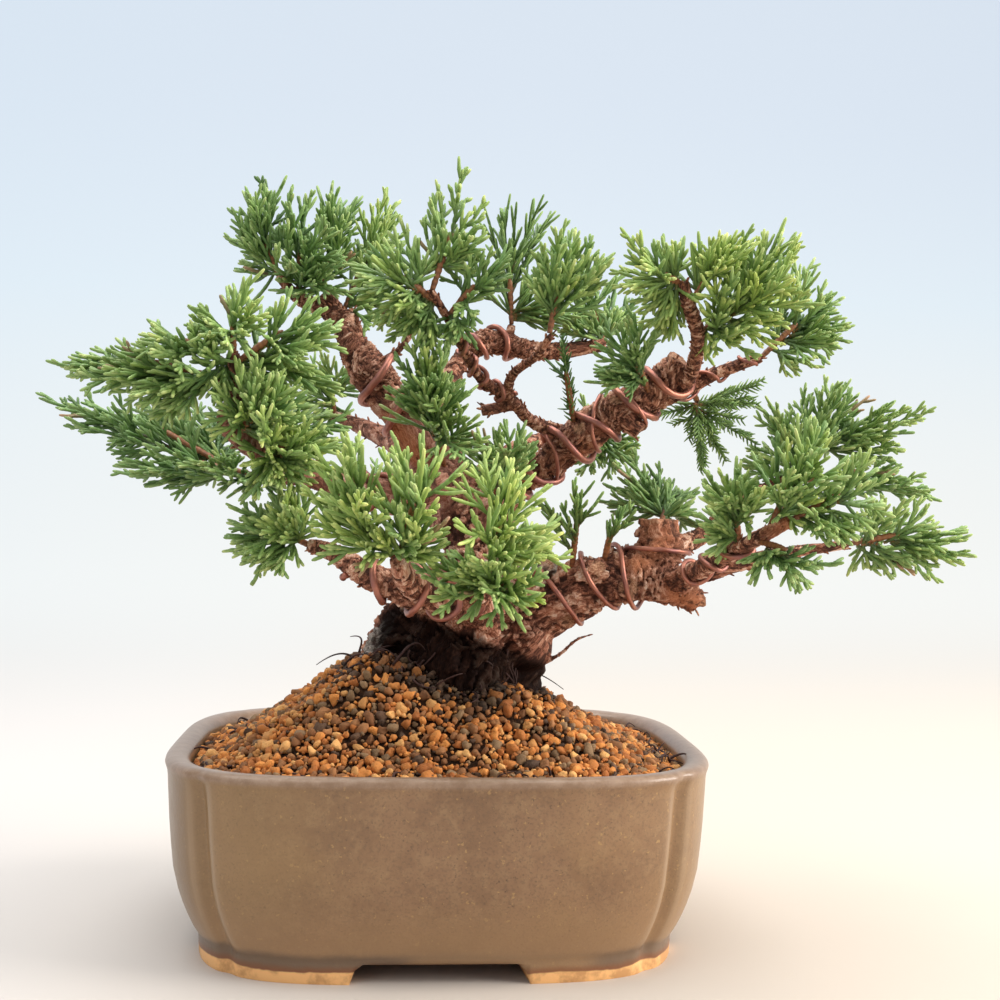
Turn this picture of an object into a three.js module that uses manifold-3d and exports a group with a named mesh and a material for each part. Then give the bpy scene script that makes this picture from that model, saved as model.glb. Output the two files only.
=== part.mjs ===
// A small juniper bonsai in a glazed rectangular pot. Millimetres, +Z up, the pot's front towards -Y.
// Pieces: pot, two drain screens, soil, the wood of the tree, its training wires, and its leafy shoots.

import * as THREE from "three";
import { mergeVertices } from "three/addons/utils/BufferGeometryUtils.js";
import Module from "manifold-3d";

const wasm = await Module();
wasm.setup();
const { Manifold } = wasm;

// ---------------------------------------------------------------- driving dimensions

const FIT = 0.35; // clearance between touching pieces

const POT = {
  width: 137,
  depth: 123,
  height: 50,
  squareness: 3.8, // exponent of the superellipse that the plan follows
  floorUnder: 6, // height of the pot's underside above the table
  floorTop: 11,
  cornerIn: 9, // how far in from both sides a corner's groove lies
  grooveDepth: 2.6, // where two panels meet at a corner
  grooveHalfWidth: 2.4,
};

const FEET = {
  gapTop: 38, // width of the arch between two feet, just under the pot
  gapBottom: 44,
  gapHeight: 5.5,
};

const DRAIN = { radius: 7, fromCentre: 28, sides: 20 };
const SCREEN = { size: 20, thick: 0.8, bar: 1.6, pitch: 6 };
const SCREEN_ROOM = { beside: 0.5, height: 3 }; // the space left in the soil for a screen

const SOIL = {
  edgeHeight: 46.5, // at the pot's wall
  peakHeight: 69.5, // against the trunk
  higherLeft: 3.5,
  flatTop: 0.33, // part of the way to the wall that stays at full height
  hollow: 1.4, // above 1, the slope sags between the trunk and the wall
  relief: 2.6, // height of the lumps
  reliefAtWall: 0.5,
  rings: 7,
  points: 32,
  seed: 77,
};

const WIRE_GAP = 0.35;
const LOOSEST_TURN = 3; // how far a wire may stand off its limb
const WIRE_STEPS_PER_TURN = 8;
const WIRE_FRAMES = 200; // places along a limb where the wire's direction is worked out
const WIRE_SMOOTHING = 8;
const NEEDLE = { radius: 0.6, stem: 1.25, core: 0.9, shoulder: 0.2, lastOnStem: 0.9 };
const FIRST_SHOOT_SEED = 1000;
const SHOOT_SEED_STEP = 17;

// Places are in the pot's own frame; the whole part is then moved so that the middle of its box is on Z.
const BOX_CENTRE = { x: 14.5, y: -6 };

// Limbs of the tree, each a chain of [x, y, z, radius].
const LIMBS = {
  trunk: [
    [5, -0.5, 52, 19], [4.5, -0.5, 68, 19.5], [6, -0.5, 76, 18.5], [8.5, -0.5, 85.5, 15.5],
    [10.5, 1, 95, 11.5], [9.5, 3, 104, 9], [5, 5.5, 117, 7], [-3.5, 6, 127, 6],
    [-11, 6.5, 137.5, 5.6], [-18, 7, 146.5, 5.6], [-24.5, 9.5, 155.5, 4.8], [-26.5, 12, 164.5, 3],
  ],
  flank_left: [[-17, -1, 56, 8], [-14, -1, 70.5, 8.5], [-7, -1.5, 81, 8.5], [3, -0.5, 89.5, 8]],
  flank_right: [[20, -3.5, 56, 8], [19.5, -3.5, 68.5, 9], [21, -5.5, 79, 11], [18.5, -5.5, 86, 11]],
  flank_front: [[4.5, -12.5, 56, 10], [6.5, -10.5, 72, 11], [9, -9, 84.5, 9]],
  root_left: [[-10, 0, 62, 7], [-28, -4, 48, 4.5], [-42, -10, 34, 2.8], [-50, -14, 24, 1.6]],
  root_right: [[18, -2, 60, 7], [34, 2, 46, 4.4], [46, 8, 32, 2.6], [52, 12, 22, 1.6]],
  root_front: [[6, -12, 60, 7], [2, -28, 44, 4.2], [-4, -38, 30, 2.6], [-8, -43, 22, 1.6]],
  root_back: [[8, 10, 60, 7], [14, 28, 44, 4.2], [18, 38, 30, 2.6], [20, 43, 22, 1.6]],
  root_deep: [[4, -1, 56, 9], [0, 2, 40, 6], [-4, 6, 26, 3], [-10, 10, 18, 1.8]],
  root_twig: [
    [20, -6, 67, 1.4], [31.5, -10.5, 73.5, 0.9], [36, -11, 77.5, 0.8], [40.5, -11, 79, 0.6],
  ],
  arm_e: [
    [13.5, -3, 81.5, 11], [27.5, -8, 87, 9], [39, -11, 92, 7.5], [52, -14, 95, 6.8],
    [60, -16.5, 92, 5], [67, -17, 88, 3.2],
  ],
  stub_e: [[56, -14, 94, 6], [57, -12.5, 102.5, 6.2], [57, -12.5, 109.5, 5]],
  arm_b: [
    [10, 3, 104, 8], [20, 0.5, 118.5, 4.6], [27.5, -2, 123, 4.2], [35.5, -4.5, 130, 5.6],
    [43, -6.5, 135.5, 5], [52, -8, 141.5, 4.8], [59, -10.5, 147, 4.6], [62, -12.5, 151.5, 3.4],
  ],
  partner_b: [
    [42, -4, 133.5, 3], [55.5, -4, 140, 2.8], [65.5, -7, 145, 2.3], [73, -9.5, 148.5, 1.8],
    [83.5, -12.5, 152.5, 1.4],
  ],
  stub_b: [[46, -9.5, 137.5, 3], [52, -11, 132.5, 2.5]],
  twig_b: [
    [62.5, -9.5, 143, 2.2], [64.5, -17, 149, 2], [63, -29, 157, 1.9], [60, -32.5, 163, 1.9],
    [58, -34.5, 168.5, 1.6],
  ],
  arm_c: [
    [32.5, -5.5, 131.5, 3.2], [23, -7, 135, 2.1], [18.5, -9.5, 139.5, 2], [10, -15, 144.5, 1.8],
    [6, -20.5, 149, 1.6], [2, -26.5, 156, 1.4], [-4.5, -33, 165, 1.3],
  ],
  stub_c: [[19.5, -9.5, 139, 1.7], [10, -10, 137, 1.5]],
  twig_c: [
    [16.5, -10.5, 141.5, 1.5], [17.5, -15.5, 146, 1.3], [22.5, -26, 150, 1.1],
    [25.5, -34, 154.5, 1],
  ],
  arm_d: [
    [-3, 10, 127.5, 4.5], [0, 22, 140.5, 3], [6, 31.5, 153.5, 2.9], [12.5, 34, 159.5, 3.8],
    [29.5, 36, 157.5, 2.8], [49, 36.5, 160, 2],
  ],
  twig_d: [[20, 34.5, 157.5, 1.8], [21, 34.5, 165, 1.2]],
  twig_trunk: [[-18, 5, 149.5, 2], [-12, 3, 153.5, 1.4], [-6.5, 0.5, 161, 1.2]],
  top_left: [[-25, 11, 161, 3], [-34, 12.5, 166, 2.4], [-39, 13, 168, 1.9], [-45, 11, 174, 1.3]],
  top_mid: [[-28, 12, 164, 2.4], [-32.5, 10.5, 169.5, 1.6]],
  arm_f: [
    [10, -11, 84.5, 9], [7, -30.5, 89, 7], [0, -46, 91, 5.6], [-10.5, -54.5, 93, 4.6],
    [-18.5, -57, 96, 3.6], [-26.5, -55.5, 101, 2.5], [-32, -53, 102.5, 1.8],
  ],
  fork_f1: [[6.5, -36.5, 89, 4.5], [8.5, -59, 95.5, 3], [9, -71, 99, 2]],
  fork_f2: [[-6, -50, 92, 3.6], [-10, -67.5, 96.5, 2.6], [-11.5, -75.5, 100, 1.8]],
  arm_g: [
    [1, 4, 119.5, 5], [-9.5, -11.5, 115, 4.2], [-22.5, -24.5, 116, 3.8], [-34.5, -33.5, 120, 3.3],
    [-44, -41, 124, 2.8], [-49.5, -46.5, 128, 2.5], [-52, -48.5, 131.5, 2.4],
    [-49.5, -50.5, 136.5, 2.1], [-50, -52.5, 146.5, 1.6],
  ],
  fork_g: [[-32, -30, 119.5, 2.6], [-41.5, -15, 118.5, 2], [-51.5, -4.5, 118.5, 1.4]],
  twig_e: [[60, -16.5, 93, 4], [62.5, -39, 97.5, 2.4], [69, -53.5, 103.5, 2], [78, -64, 110, 1.5]],
  arm_h: [[58.5, -10.5, 100.5, 4], [70, -3, 105, 2.4], [83, 2, 115, 1.8], [95, 5, 121, 1.3]],
  arm_i: [[64, -19, 95, 3], [83.5, -24.5, 100.5, 1.8], [103, -27.5, 104, 1.2]],
  back_right: [
    [8.5, 7.5, 108, 5], [15, 29, 122.5, 3.6], [28, 46, 130.5, 2.6], [44.5, 57, 137, 1.6],
  ],
  back_left: [
    [-2, 10, 122, 5], [-10.5, 34.5, 129, 3.6], [-21.5, 53.5, 135, 2.6], [-31, 64.5, 139, 1.5],
  ],
  back_mid: [[9, 6, 100, 5], [2, 30, 107, 3.4], [-6, 48, 111, 2.4], [-14, 60, 113, 1.5]],
};

// Training wires: wound round one limb from one place along it to another.
const WIRES = {
  wire_trunk: {
    limb: "trunk", from: 0.7, to: 0.84,
    turns: 1.8, start: 2.6, radius: 1.05, colour: 0xb9785f,
  },
  wire_arm_b: {
    limb: "arm_b", from: 0.22, to: 0.5,
    turns: 3, start: 0.4, radius: 0.9, colour: 0xa5674f,
  },
  wire_arm_c: {
    limb: "arm_c", from: 0.3, to: 0.72,
    turns: 4, start: 1.2, radius: 0.6, colour: 0x9c5f4c,
  },
  wire_arm_d: {
    limb: "arm_d", from: 0.48, to: 0.7,
    turns: 2, start: 0, radius: 0.8, colour: 0xa87058,
  },
  wire_arm_e: {
    limb: "arm_e", from: 0.28, to: 0.74,
    turns: 3, start: 2.9, radius: 0.8, colour: 0x7d4a40,
  },
  wire_arm_f: {
    limb: "arm_f", from: 0.4, to: 0.86,
    turns: 4, start: 2, radius: 0.95, colour: 0xb57560,
  },
  wire_arm_g: {
    limb: "arm_g", from: 0.2, to: 0.42,
    turns: 3, start: 0.5, radius: 0.8, colour: 0xc08a78,
  },
  wire_twig_e: {
    limb: "twig_e", from: 0.3, to: 0.78,
    turns: 3, start: 4, radius: 0.6, colour: 0x9c4f48,
  },
};

// Leafy shoots. Each has a slim woody stem and its sprays, each one given as
// [place along the stem, x, y, z of the tip, reach of its branchlets].
const SHOOTS = {
  top_left_outer: {
    from: [-45, 11, 174],
    to: [-49, 10, 183],
    sprays: [
      [0.1, -55, 14, 173, 9], [0.3, -61, 8, 190, 8], [0.6, -59, 18, 185, 7], [1, -53, 6, 197, 8],
      [1, -47, 13, 201, 9],
    ],
  },
  top_left_inner: {
    from: [-39, 13, 168],
    to: [-39, 7, 180],
    sprays: [
      [0.3, -48, -3, 177, 8], [0.6, -43, 3, 198, 9], [1, -37, 9, 197, 9], [0.8, -30, -10, 186, 8],
    ],
  },
  top_left_crown: {
    from: [-33, 10, 170],
    to: [-30, 14, 182],
    sprays: [
      [0.3, -40, 25, 189, 9], [0.6, -32, 16, 200, 9], [1, -26, 22, 198, 9], [1, -27, 6, 190, 8],
    ],
  },
  top_right_crown: {
    from: [-27, 12, 165],
    to: [-21, 16, 179],
    sprays: [
      [0.3, -26, 26, 187, 8], [0.5, -14, 9, 184, 9], [1, -17, 17, 197, 9], [1, -13, 25, 194, 8],
    ],
  },
  centre_spike: {
    from: [-4, -33, 165],
    to: [1, -32, 179],
    sprays: [
      [0.4, -7, -26, 183, 8], [0.6, -4, -34, 188, 8], [1, 3, -32, 195, 8], [1, 9, -31, 186, 8],
      [0.7, 7, -43, 175, 8],
    ],
  },
  centre_left: {
    from: [-2.5, -31, 162],
    to: [-12, -35, 167],
    sprays: [
      [0.4, -11, -27, 180, 9], [0.6, -15, -39, 176, 8], [1, -24, -36, 168, 8],
      [1, -22, -29, 163, 7], [0.5, -12, -39, 158, 7],
    ],
  },
  centre_right: {
    from: [0, -28.5, 159],
    to: [7, -33, 166],
    sprays: [
      [0.5, 7, -27, 178, 8], [1, 15, -35, 172, 8], [1, 14, -31, 167, 7], [0.7, 5, -37, 157, 6],
    ],
  },
  back_centre: {
    from: [21, 34, 165],
    to: [20, 34, 181],
    sprays: [
      [0.2, 15, 39, 194, 7], [0.5, 18, 35, 198, 7], [1, 28, 32, 199, 7], [1, 33, 42, 199, 6],
      [0.6, 25, 44, 191, 7],
    ],
  },
  back_far: {
    from: [49, 36, 160],
    to: [45, 41, 171],
    sprays: [
      [0.5, 38, 47, 177, 8], [1, 40, 41, 185, 7], [1, 52, 48, 182, 8], [0.6, 58, 56, 173, 8],
    ],
  },
  front_centre: {
    from: [25, -34, 155],
    to: [27, -36, 165],
    sprays: [
      [0.4, 20, -32, 171, 7], [0.5, 23, -42, 174, 8], [1, 27, -36, 182, 8], [1, 32, -29, 180, 8],
      [0.8, 36, -39, 175, 8], [0.5, 40, -43, 173, 7],
    ],
  },
  dark_sprig: {
    from: [35, -7, 133],
    to: [31, -16, 147],
    sprays: [
      [0.6, 34, -23, 152, 6], [1, 29, -24, 153, 6], [1, 28, -12, 150, 6],
    ],
  },
  right_top_left: {
    from: [58, -34, 168],
    to: [52, -38, 169],
    sprays: [
      [0.4, 55, -34, 180, 8], [0.6, 46, -38, 179, 8], [1, 47, -50, 171, 8], [1, 42, -39, 175, 8],
      [0.7, 43, -35, 166, 8],
    ],
  },
  right_top_mid: {
    from: [60, -33, 163],
    to: [65, -35, 170],
    sprays: [
      [0.4, 61, -27, 178, 8], [0.8, 65, -35, 182, 9], [1, 68, -45, 177, 9], [1, 75, -38, 183, 9],
    ],
  },
  right_top_right: {
    from: [63, -28, 156],
    to: [74, -33, 163],
    sprays: [
      [0.4, 66, -49, 167, 9], [0.6, 78, -26, 178, 9], [1, 83, -34, 182, 9], [1, 87, -41, 179, 8],
      [0.8, 81, -50, 167, 9], [0.4, 69, -41, 151, 8], [0.7, 82, -36, 153, 8], [1, 88, -44, 164, 9],
      [0.8, 84, -18, 167, 9],
    ],
  },
  right_top_far: {
    from: [83.5, -12.5, 152.5],
    to: [94, -12, 161],
    sprays: [
      [0.4, 90, -1, 172, 8], [0.9, 95, -9, 178, 9], [1, 104, -12, 171, 9], [1, 105, 2, 170, 8],
      [0.4, 92, -15, 148, 6], [0.6, 101, -20, 151, 7], [0.8, 109, -14, 162, 8],
      [0.8, 107, -7, 157, 8],
    ],
  },
  mid_right_sprig: {
    from: [54, -12, 142],
    to: [48, -24, 149],
    sprays: [
      [0.7, 41, -21, 144, 7], [0.8, 42, -27, 154, 8], [1, 48, -30, 159, 8], [0.9, 39, -20, 160, 8],
    ],
  },
  left_upper_tip: {
    from: [-49.7, -51.2, 139.5],
    to: [-69, -51, 142],
    sprays: [
      [0.5, -75, -45, 149, 10], [0.8, -85, -48, 150, 9], [1, -93, -49, 144, 8],
      [1, -85, -56, 140, 8], [0.6, -71, -59, 136, 9],
    ],
  },
  left_upper_mid: {
    from: [-50, -52, 143.5],
    to: [-62, -54, 148],
    sprays: [
      [0.4, -57, -62, 153, 9], [0.7, -69, -57, 154, 9], [1, -76, -52, 155, 8],
      [0.9, -64, -68, 145, 9],
    ],
  },
  left_upper_top: {
    from: [-50, -52.5, 146.5],
    to: [-50, -55, 153],
    sprays: [
      [0.3, -57, -42, 155, 9], [0.7, -61, -54, 157, 8], [1, -51, -55, 159, 9],
      [1, -44, -63, 155, 8], [0.8, -52, -72, 150, 8],
    ],
  },
  left_upper_right: {
    from: [-50, -52, 144],
    to: [-38, -51, 151],
    sprays: [
      [0.4, -45, -41, 156, 9], [0.7, -37, -56, 158, 9], [1, -30, -50, 157, 9],
      [1, -25, -54, 152, 8], [0.8, -37, -60, 144, 8],
    ],
  },
  left_mid: {
    from: [-51.5, -4.5, 118.5],
    to: [-80, 2, 130],
    sprays: [
      [0.3, -73, 9, 124, 9], [0.7, -85, -8, 128, 9], [0.85, -100, 1, 132, 8], [1, -107, 4, 139, 8],
      [0.8, -98, 11, 140, 8], [0.25, -66, 22, 132, 9], [0.55, -85, 16, 139, 9],
      [0.4, -76, 24, 142, 9], [0.3, -60, 14, 138, 8],
    ],
  },
  left_mid_low: {
    from: [-46, -10.5, 118.5],
    to: [-66, -8, 120],
    sprays: [
      [0.6, -69, -9, 115, 6], [0.8, -76, -1, 117, 7], [1, -87, -6, 121, 8], [1, -83, -12, 118, 7],
      [0.7, -74, -19, 127, 8],
    ],
  },
  left_front_up: {
    from: [-49.5, -46.5, 128],
    to: [-43, -57, 133],
    sprays: [
      [0.5, -48, -59, 143, 9], [0.8, -44, -61, 142, 8], [1, -38, -60, 138, 9],
      [1, -34, -64, 131, 9], [0.7, -55, -62, 133, 8],
    ],
  },
  left_front_low: {
    from: [-44, -41, 124],
    to: [-38, -56, 123],
    sprays: [
      [0.5, -46, -53, 117, 8], [0.7, -37, -60, 115, 9], [1, -30, -60, 127, 9],
      [1, -26, -58, 120, 8], [0.8, -42, -69, 129, 8],
    ],
  },
  trunk_back: {
    from: [-31, 64.5, 139],
    to: [-32, 60, 147],
    sprays: [
      [0.5, -41, 53, 141, 9], [0.6, -40, 59, 152, 9], [1, -29, 52, 154, 9], [1, -19, 59, 144, 9],
      [0.6, -28, 72, 137, 9],
    ],
  },
  low_left: {
    from: [-32, -53, 102.5],
    to: [-39, -51, 105],
    sprays: [
      [0.6, -44, -43, 113, 7], [0.8, -50, -47, 112, 7], [1, -52, -46, 104, 7],
      [1, -49, -53, 100, 7], [0.8, -46, -51, 94, 6], [0.5, -40, -59, 97, 6],
      [0.5, -37, -50, 113, 8], [0.7, -40, -63, 109, 8], [0.4, -31, -66, 111, 8],
    ],
  },
  front_left: {
    from: [-10.8, -71, 98.5],
    to: [-20, -80, 109],
    sprays: [
      [0.5, -28, -78, 104, 9], [0.7, -33, -76, 112, 9], [1, -27, -76, 122, 10],
      [1, -22, -79, 127, 9], [0.8, -22, -93, 113, 9],
    ],
  },
  front_mid: {
    from: [-11.5, -75.5, 100],
    to: [-8, -86, 112],
    sprays: [
      [0.3, -11, -94, 109, 9], [0.6, -15, -79, 124, 9], [1, -11, -84, 126, 9],
      [1, -2, -84, 124, 9], [0.8, -5, -96, 115, 9],
    ],
  },
  front_right: {
    from: [9, -71, 99],
    to: [10, -79, 109],
    sprays: [
      [0.4, 20, -76, 104, 9], [0.5, 3, -91, 109, 9], [1, 6, -77, 122, 9], [1, 15, -75, 120, 9],
      [0.8, 19, -82, 113, 9],
    ],
  },
  front_low: {
    from: [8.7, -63, 96.5],
    to: [12, -73, 93],
    sprays: [
      [0.5, -1, -84, 99, 8], [0.7, 5, -91, 102, 8], [1, 14, -77, 88, 7], [1, 19, -80, 98, 8],
    ],
  },
  trunk_front: {
    from: [1, 1, 122],
    to: [-4, -30, 133],
    sprays: [
      [0.6, 6, -37, 133, 9], [0.8, -12, -33, 141, 9], [1, -4, -34, 147, 9], [1, 2, -40, 141, 9],
      [0.8, 6, -47, 124, 9],
    ],
  },
  trunk_side: {
    from: [14, -2, 112],
    to: [14, -25, 119],
    sprays: [
      [0.6, 19, -26, 126, 8], [0.8, 12, -27, 132, 9], [1, 20, -36, 128, 8], [1, 7, -41, 128, 9],
    ],
  },
  e_sprig: {
    from: [34, -12, 93],
    to: [34, -25, 109],
    sprays: [
      [0.5, 25, -28, 114, 5], [0.7, 29, -26, 110, 5], [1, 32, -29, 119, 5], [1, 38, -33, 114, 5],
    ],
  },
  e_sprig_b: {
    from: [42, -15, 97],
    to: [43, -21, 105],
    sprays: [
      [0.8, 42, -21, 109, 4], [1, 48, -30, 112, 5], [1, 47, -20, 113, 5],
    ],
  },
  hanging_sprig: {
    from: [66, -6, 145],
    to: [71, 7, 139],
    sprays: [
      [0.7, 55, 12, 142, 7], [1, 69, 9, 131, 6], [1, 72, 7, 122, 7], [1, 84, 8, 137, 7],
      [0.8, 89, 5, 148, 8],
    ],
  },
  back_low: {
    from: [44.5, 57, 137],
    to: [53, 52, 133],
    sprays: [
      [0.4, 51, 62, 142, 8], [1, 49, 46, 125, 8], [1, 63, 47, 133, 8], [0.7, 55, 40, 120, 8],
    ],
  },
  stub_sprig: {
    from: [58, -10, 109],
    to: [63, 3, 113],
    sprays: [
      [0.6, 55, 8, 117, 7], [1, 60, 12, 123, 7], [1, 69, 5, 117, 7], [1, 70, 9, 106, 7],
    ],
  },
  right_mid_up: {
    from: [95, 5, 121],
    to: [109, 2, 133],
    sprays: [
      [0.2, 92, 7, 142, 8], [0.5, 101, 13, 146, 8], [0.8, 107, 4, 148, 8], [0.8, 115, 7, 147, 8],
      [0.6, 117, 17, 135, 8], [0.4, 104, -10, 134, 8], [0.9, 124, -1, 143, 8],
      [1, 134, -4, 139, 8], [1, 125, -9, 134, 7], [0.8, 125, -5, 126, 8],
    ],
  },
  right_mid_low: {
    from: [89, 3.5, 118],
    to: [113, -6, 120],
    sprays: [
      [0.5, 110, 2, 115, 8], [0.8, 120, -15, 125, 7], [1, 132, -14, 116, 7], [1, 131, -6, 121, 7],
    ],
  },
  right_front_in: {
    from: [69, -53.5, 103.5],
    to: [66, -59, 112],
    sprays: [
      [0.4, 59, -57, 110, 7], [0.6, 60, -57, 121, 7], [1, 67, -65, 121, 8], [1, 60, -73, 116, 8],
      [0.8, 69, -75, 115, 8],
    ],
  },
  right_front_up: {
    from: [74, -59.3, 107.2],
    to: [78, -68, 119],
    sprays: [
      [0.5, 71, -82, 119, 8], [0.6, 73, -66, 128, 8], [1, 86, -69, 134, 9], [1, 79, -78, 128, 8],
      [0.8, 83, -82, 121, 8],
    ],
  },
  right_front_tip: {
    from: [78, -64, 110],
    to: [88, -71, 115],
    sprays: [
      [0.4, 82, -80, 108, 8], [0.7, 93, -67, 126, 8], [1, 99, -72, 121, 7], [1, 99, -70, 113, 8],
      [0.8, 89, -73, 104, 7],
    ],
  },
  right_front_low: {
    from: [71.5, -56.5, 105.3],
    to: [76, -67, 102],
    sprays: [
      [0.5, 68, -67, 98, 6], [1, 79, -68, 96, 7], [1, 90, -63, 99, 7], [0.7, 75, -82, 108, 8],
    ],
  },
  far_right: {
    from: [103, -27.5, 104],
    to: [116, -29, 105],
    sprays: [
      [0.3, 108, -38, 115, 7], [0.8, 124, -31, 114, 7], [1, 132, -32, 108, 7],
      [1, 136, -32, 101, 7], [0.9, 125, -35, 96, 7], [0.3, 111, -22, 96, 6],
      [0.6, 119, -25, 96, 7], [0.5, 121, -9, 107, 7],
    ],
  },
  back_mid_left: {
    from: [-14, 60, 113],
    to: [-22, 70, 117],
    sprays: [
      [0.4, -30, 62, 122, 9], [0.7, -34, 72, 116, 9], [1, -24, 84, 119, 9], [1, -12, 78, 124, 9],
      [0.6, -20, 74, 106, 8],
    ],
  },
  back_mid_right: {
    from: [-5, 46, 110.8],
    to: [4, 60, 113],
    sprays: [
      [0.4, 12, 58, 121, 9], [0.7, 16, 66, 112, 9], [1, 8, 76, 115, 9], [1, -2, 70, 121, 9],
      [0.5, 4, 62, 104, 8],
    ],
  },
};

const COLOURS = {
  pot: 0x8a7050,
  screen: 0x3c4a3a,
  soil: 0x9a6030,
  wood: 0x6f4634,
  leaf: [0x4f7a38, 0x5d8a3e, 0x6f9a45, 0x47703a, 0x83a850],
};

// ---------------------------------------------------------------- helpers

// Repeatable draws between 0 and 1.
function seededDraws(seed) {
  let state = seed;
  return () => {
    state = (state * 1664525 + 1013904223) % 4294967296;
    return state / 4294967296;
  };
}

function solidFrom(geometry) {
  geometry.deleteAttribute("normal");
  geometry.deleteAttribute("uv");
  const merged = mergeVertices(geometry, 1e-5);
  return new Manifold(new wasm.Mesh({
    numProp: 3,
    vertProperties: Float32Array.from(merged.attributes.position.array),
    triVerts: Uint32Array.from(merged.index.array),
  }));
}

// A rectangular block with its lowest corner at x, y, z.
function block(x, y, z, width, depth, height) {
  const geometry = new THREE.BoxGeometry(width, depth, height);
  geometry.translate(x + width / 2, y + depth / 2, z + height / 2);
  return solidFrom(geometry);
}

// Rings of the same number of points, joined in order and closed at both ends by a fan.
function loft(rings) {
  const count = rings[0].length;
  const positions = rings.flat().flatMap((p) => [p.x, p.y, p.z]);
  const index = [];
  for (let ring = 0; ring + 1 < rings.length; ring++) {
    for (let k = 0; k < count; k++) {
      const a = ring * count + k;
      const b = ring * count + (k + 1) % count;
      index.push(a, b, b + count, a, b + count, a + count);
    }
  }
  const last = rings.length - 1;
  [rings[0], rings[last]].forEach((ring, end) => {
    const middle = ring.reduce((sum, p) => sum.add(p), new THREE.Vector3()).divideScalar(count);
    const centre = positions.length / 3;
    positions.push(middle.x, middle.y, middle.z);
    const first = end === 0 ? 0 : last * count;
    for (let k = 0; k < count; k++) {
      const a = first + k;
      const b = first + (k + 1) % count;
      if (end === 0) {
        index.push(centre, b, a);
      } else {
        index.push(centre, a, b);
      }
    }
  });
  const geometry = new THREE.BufferGeometry();
  geometry.setAttribute("position", new THREE.Float32BufferAttribute(positions, 3));
  geometry.setIndex(index);
  return geometry;
}

// A closed tube along a smooth curve. radiusAt gives the radius for a place u along it and an angle.
function tube(curve, steps, sides, radiusAt) {
  const frames = curve.computeFrenetFrames(steps, false);
  const rings = [];
  for (let step = 0; step <= steps; step++) {
    const u = step / steps;
    const centre = curve.getPointAt(u);
    const ring = [];
    for (let k = 0; k < sides; k++) {
      const angle = (2 * Math.PI * k) / sides;
      const out = frames.normals[step].clone().multiplyScalar(Math.cos(angle))
        .addScaledVector(frames.binormals[step], Math.sin(angle));
      ring.push(centre.clone().addScaledVector(out, radiusAt(u, angle)));
    }
    rings.push(ring);
  }
  return loft(rings);
}

function meshOf(name, solid, colour, roughness) {
  const data = solid.getMesh();
  const geometry = new THREE.BufferGeometry();
  const vertices = [];
  for (let v = 0; v < data.vertProperties.length; v += data.numProp) {
    vertices.push(
      data.vertProperties[v] - BOX_CENTRE.x,
      data.vertProperties[v + 1] - BOX_CENTRE.y,
      data.vertProperties[v + 2],
    );
  }
  geometry.setAttribute("position", new THREE.Float32BufferAttribute(vertices, 3));
  geometry.setIndex(Array.from(data.triVerts));
  geometry.computeVertexNormals();
  const material = new THREE.MeshStandardMaterial({ color: colour, roughness, metalness: 0 });
  const mesh = new THREE.Mesh(geometry, material);
  mesh.name = name;
  return mesh;
}

function largestPiece(solid) {
  return solid.decompose().reduce((best, piece) => (piece.volume() > best.volume() ? piece : best));
}

// ---------------------------------------------------------------- pot

// The plan of the pot at an angle, drawn in by an inset, with a groove at each corner.
function potPlan(angle, inset, groove) {
  const halfWidth = POT.width / 2 - inset;
  const halfDepth = POT.depth / 2 - inset;
  const cos = Math.cos(angle);
  const sin = Math.sin(angle);
  const n = POT.squareness;
  const radius = (Math.abs(cos / halfWidth) ** n + Math.abs(sin / halfDepth) ** n) ** (-1 / n);
  const corner = Math.atan2(POT.depth / 2 - POT.cornerIn, POT.width / 2 - POT.cornerIn);
  const fromCorner = Math.abs(Math.atan2(Math.abs(sin), Math.abs(cos)) - corner) * radius;
  const dent = groove * Math.exp(-((fromCorner / POT.grooveHalfWidth) ** 2));
  return { x: (radius - dent) * cos, y: (radius - dent) * sin };
}

// Angles around the plan, closer together at the corner grooves.
function potAngles() {
  const corner = Math.atan2(POT.depth / 2 - POT.cornerIn, POT.width / 2 - POT.cornerIn);
  const besideGroove = [-0.1, -0.035, 0, 0.035, 0.1].map((step) => corner + step);
  const quarter = [0, 0.3, 0.48, ...besideGroove, 0.97, 1.2];
  const mirrored = [Math.PI / 2, ...quarter.slice(1).reverse().map((angle) => Math.PI - angle)];
  return [...quarter, ...mirrored, ...[...quarter, ...mirrored].map((angle) => angle + Math.PI)];
}

function potRing(inset, z, groove) {
  return potAngles().map((angle) => {
    const p = potPlan(angle, inset, groove);
    return new THREE.Vector3(p.x, p.y, z);
  });
}

// Inset, height and groove of each ring: under the foot, up the outside, over the rim, down the inside.
const POT_PROFILE = [
  [15.5, POT.floorUnder, 0],
  [15, 0, 0],
  [9.2, 0, 0.3],
  [8.7, 6.4, 0.5],
  [7.2, 8, 0.7],
  [4.4, 14.5, 0.9],
  [2.2, 23, 1],
  [0.9, 40, 0.9],
  [0.7, 46.2, 0.4],
  [0, 48, 0.2],
  [1.2, 50, 0.2],
  [4.4, 49.7, 0.1],
  [6, 48, 0],
  [7.4, 22, 0],
  [14, POT.floorTop, 0],
];

function footGap(along) {
  const shape = new THREE.Shape([
    new THREE.Vector2(-FEET.gapBottom / 2, -1),
    new THREE.Vector2(FEET.gapBottom / 2, -1),
    new THREE.Vector2(FEET.gapTop / 2, FEET.gapHeight),
    new THREE.Vector2(-FEET.gapTop / 2, FEET.gapHeight),
  ]);
  const length = 2 * POT.width;
  const geometry = new THREE.ExtrudeGeometry(shape, { depth: length, bevelEnabled: false });
  geometry.translate(0, 0, -length / 2);
  geometry.rotateX(Math.PI / 2);
  if (along === "x") {
    geometry.rotateZ(Math.PI / 2);
  }
  return solidFrom(geometry);
}

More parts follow.
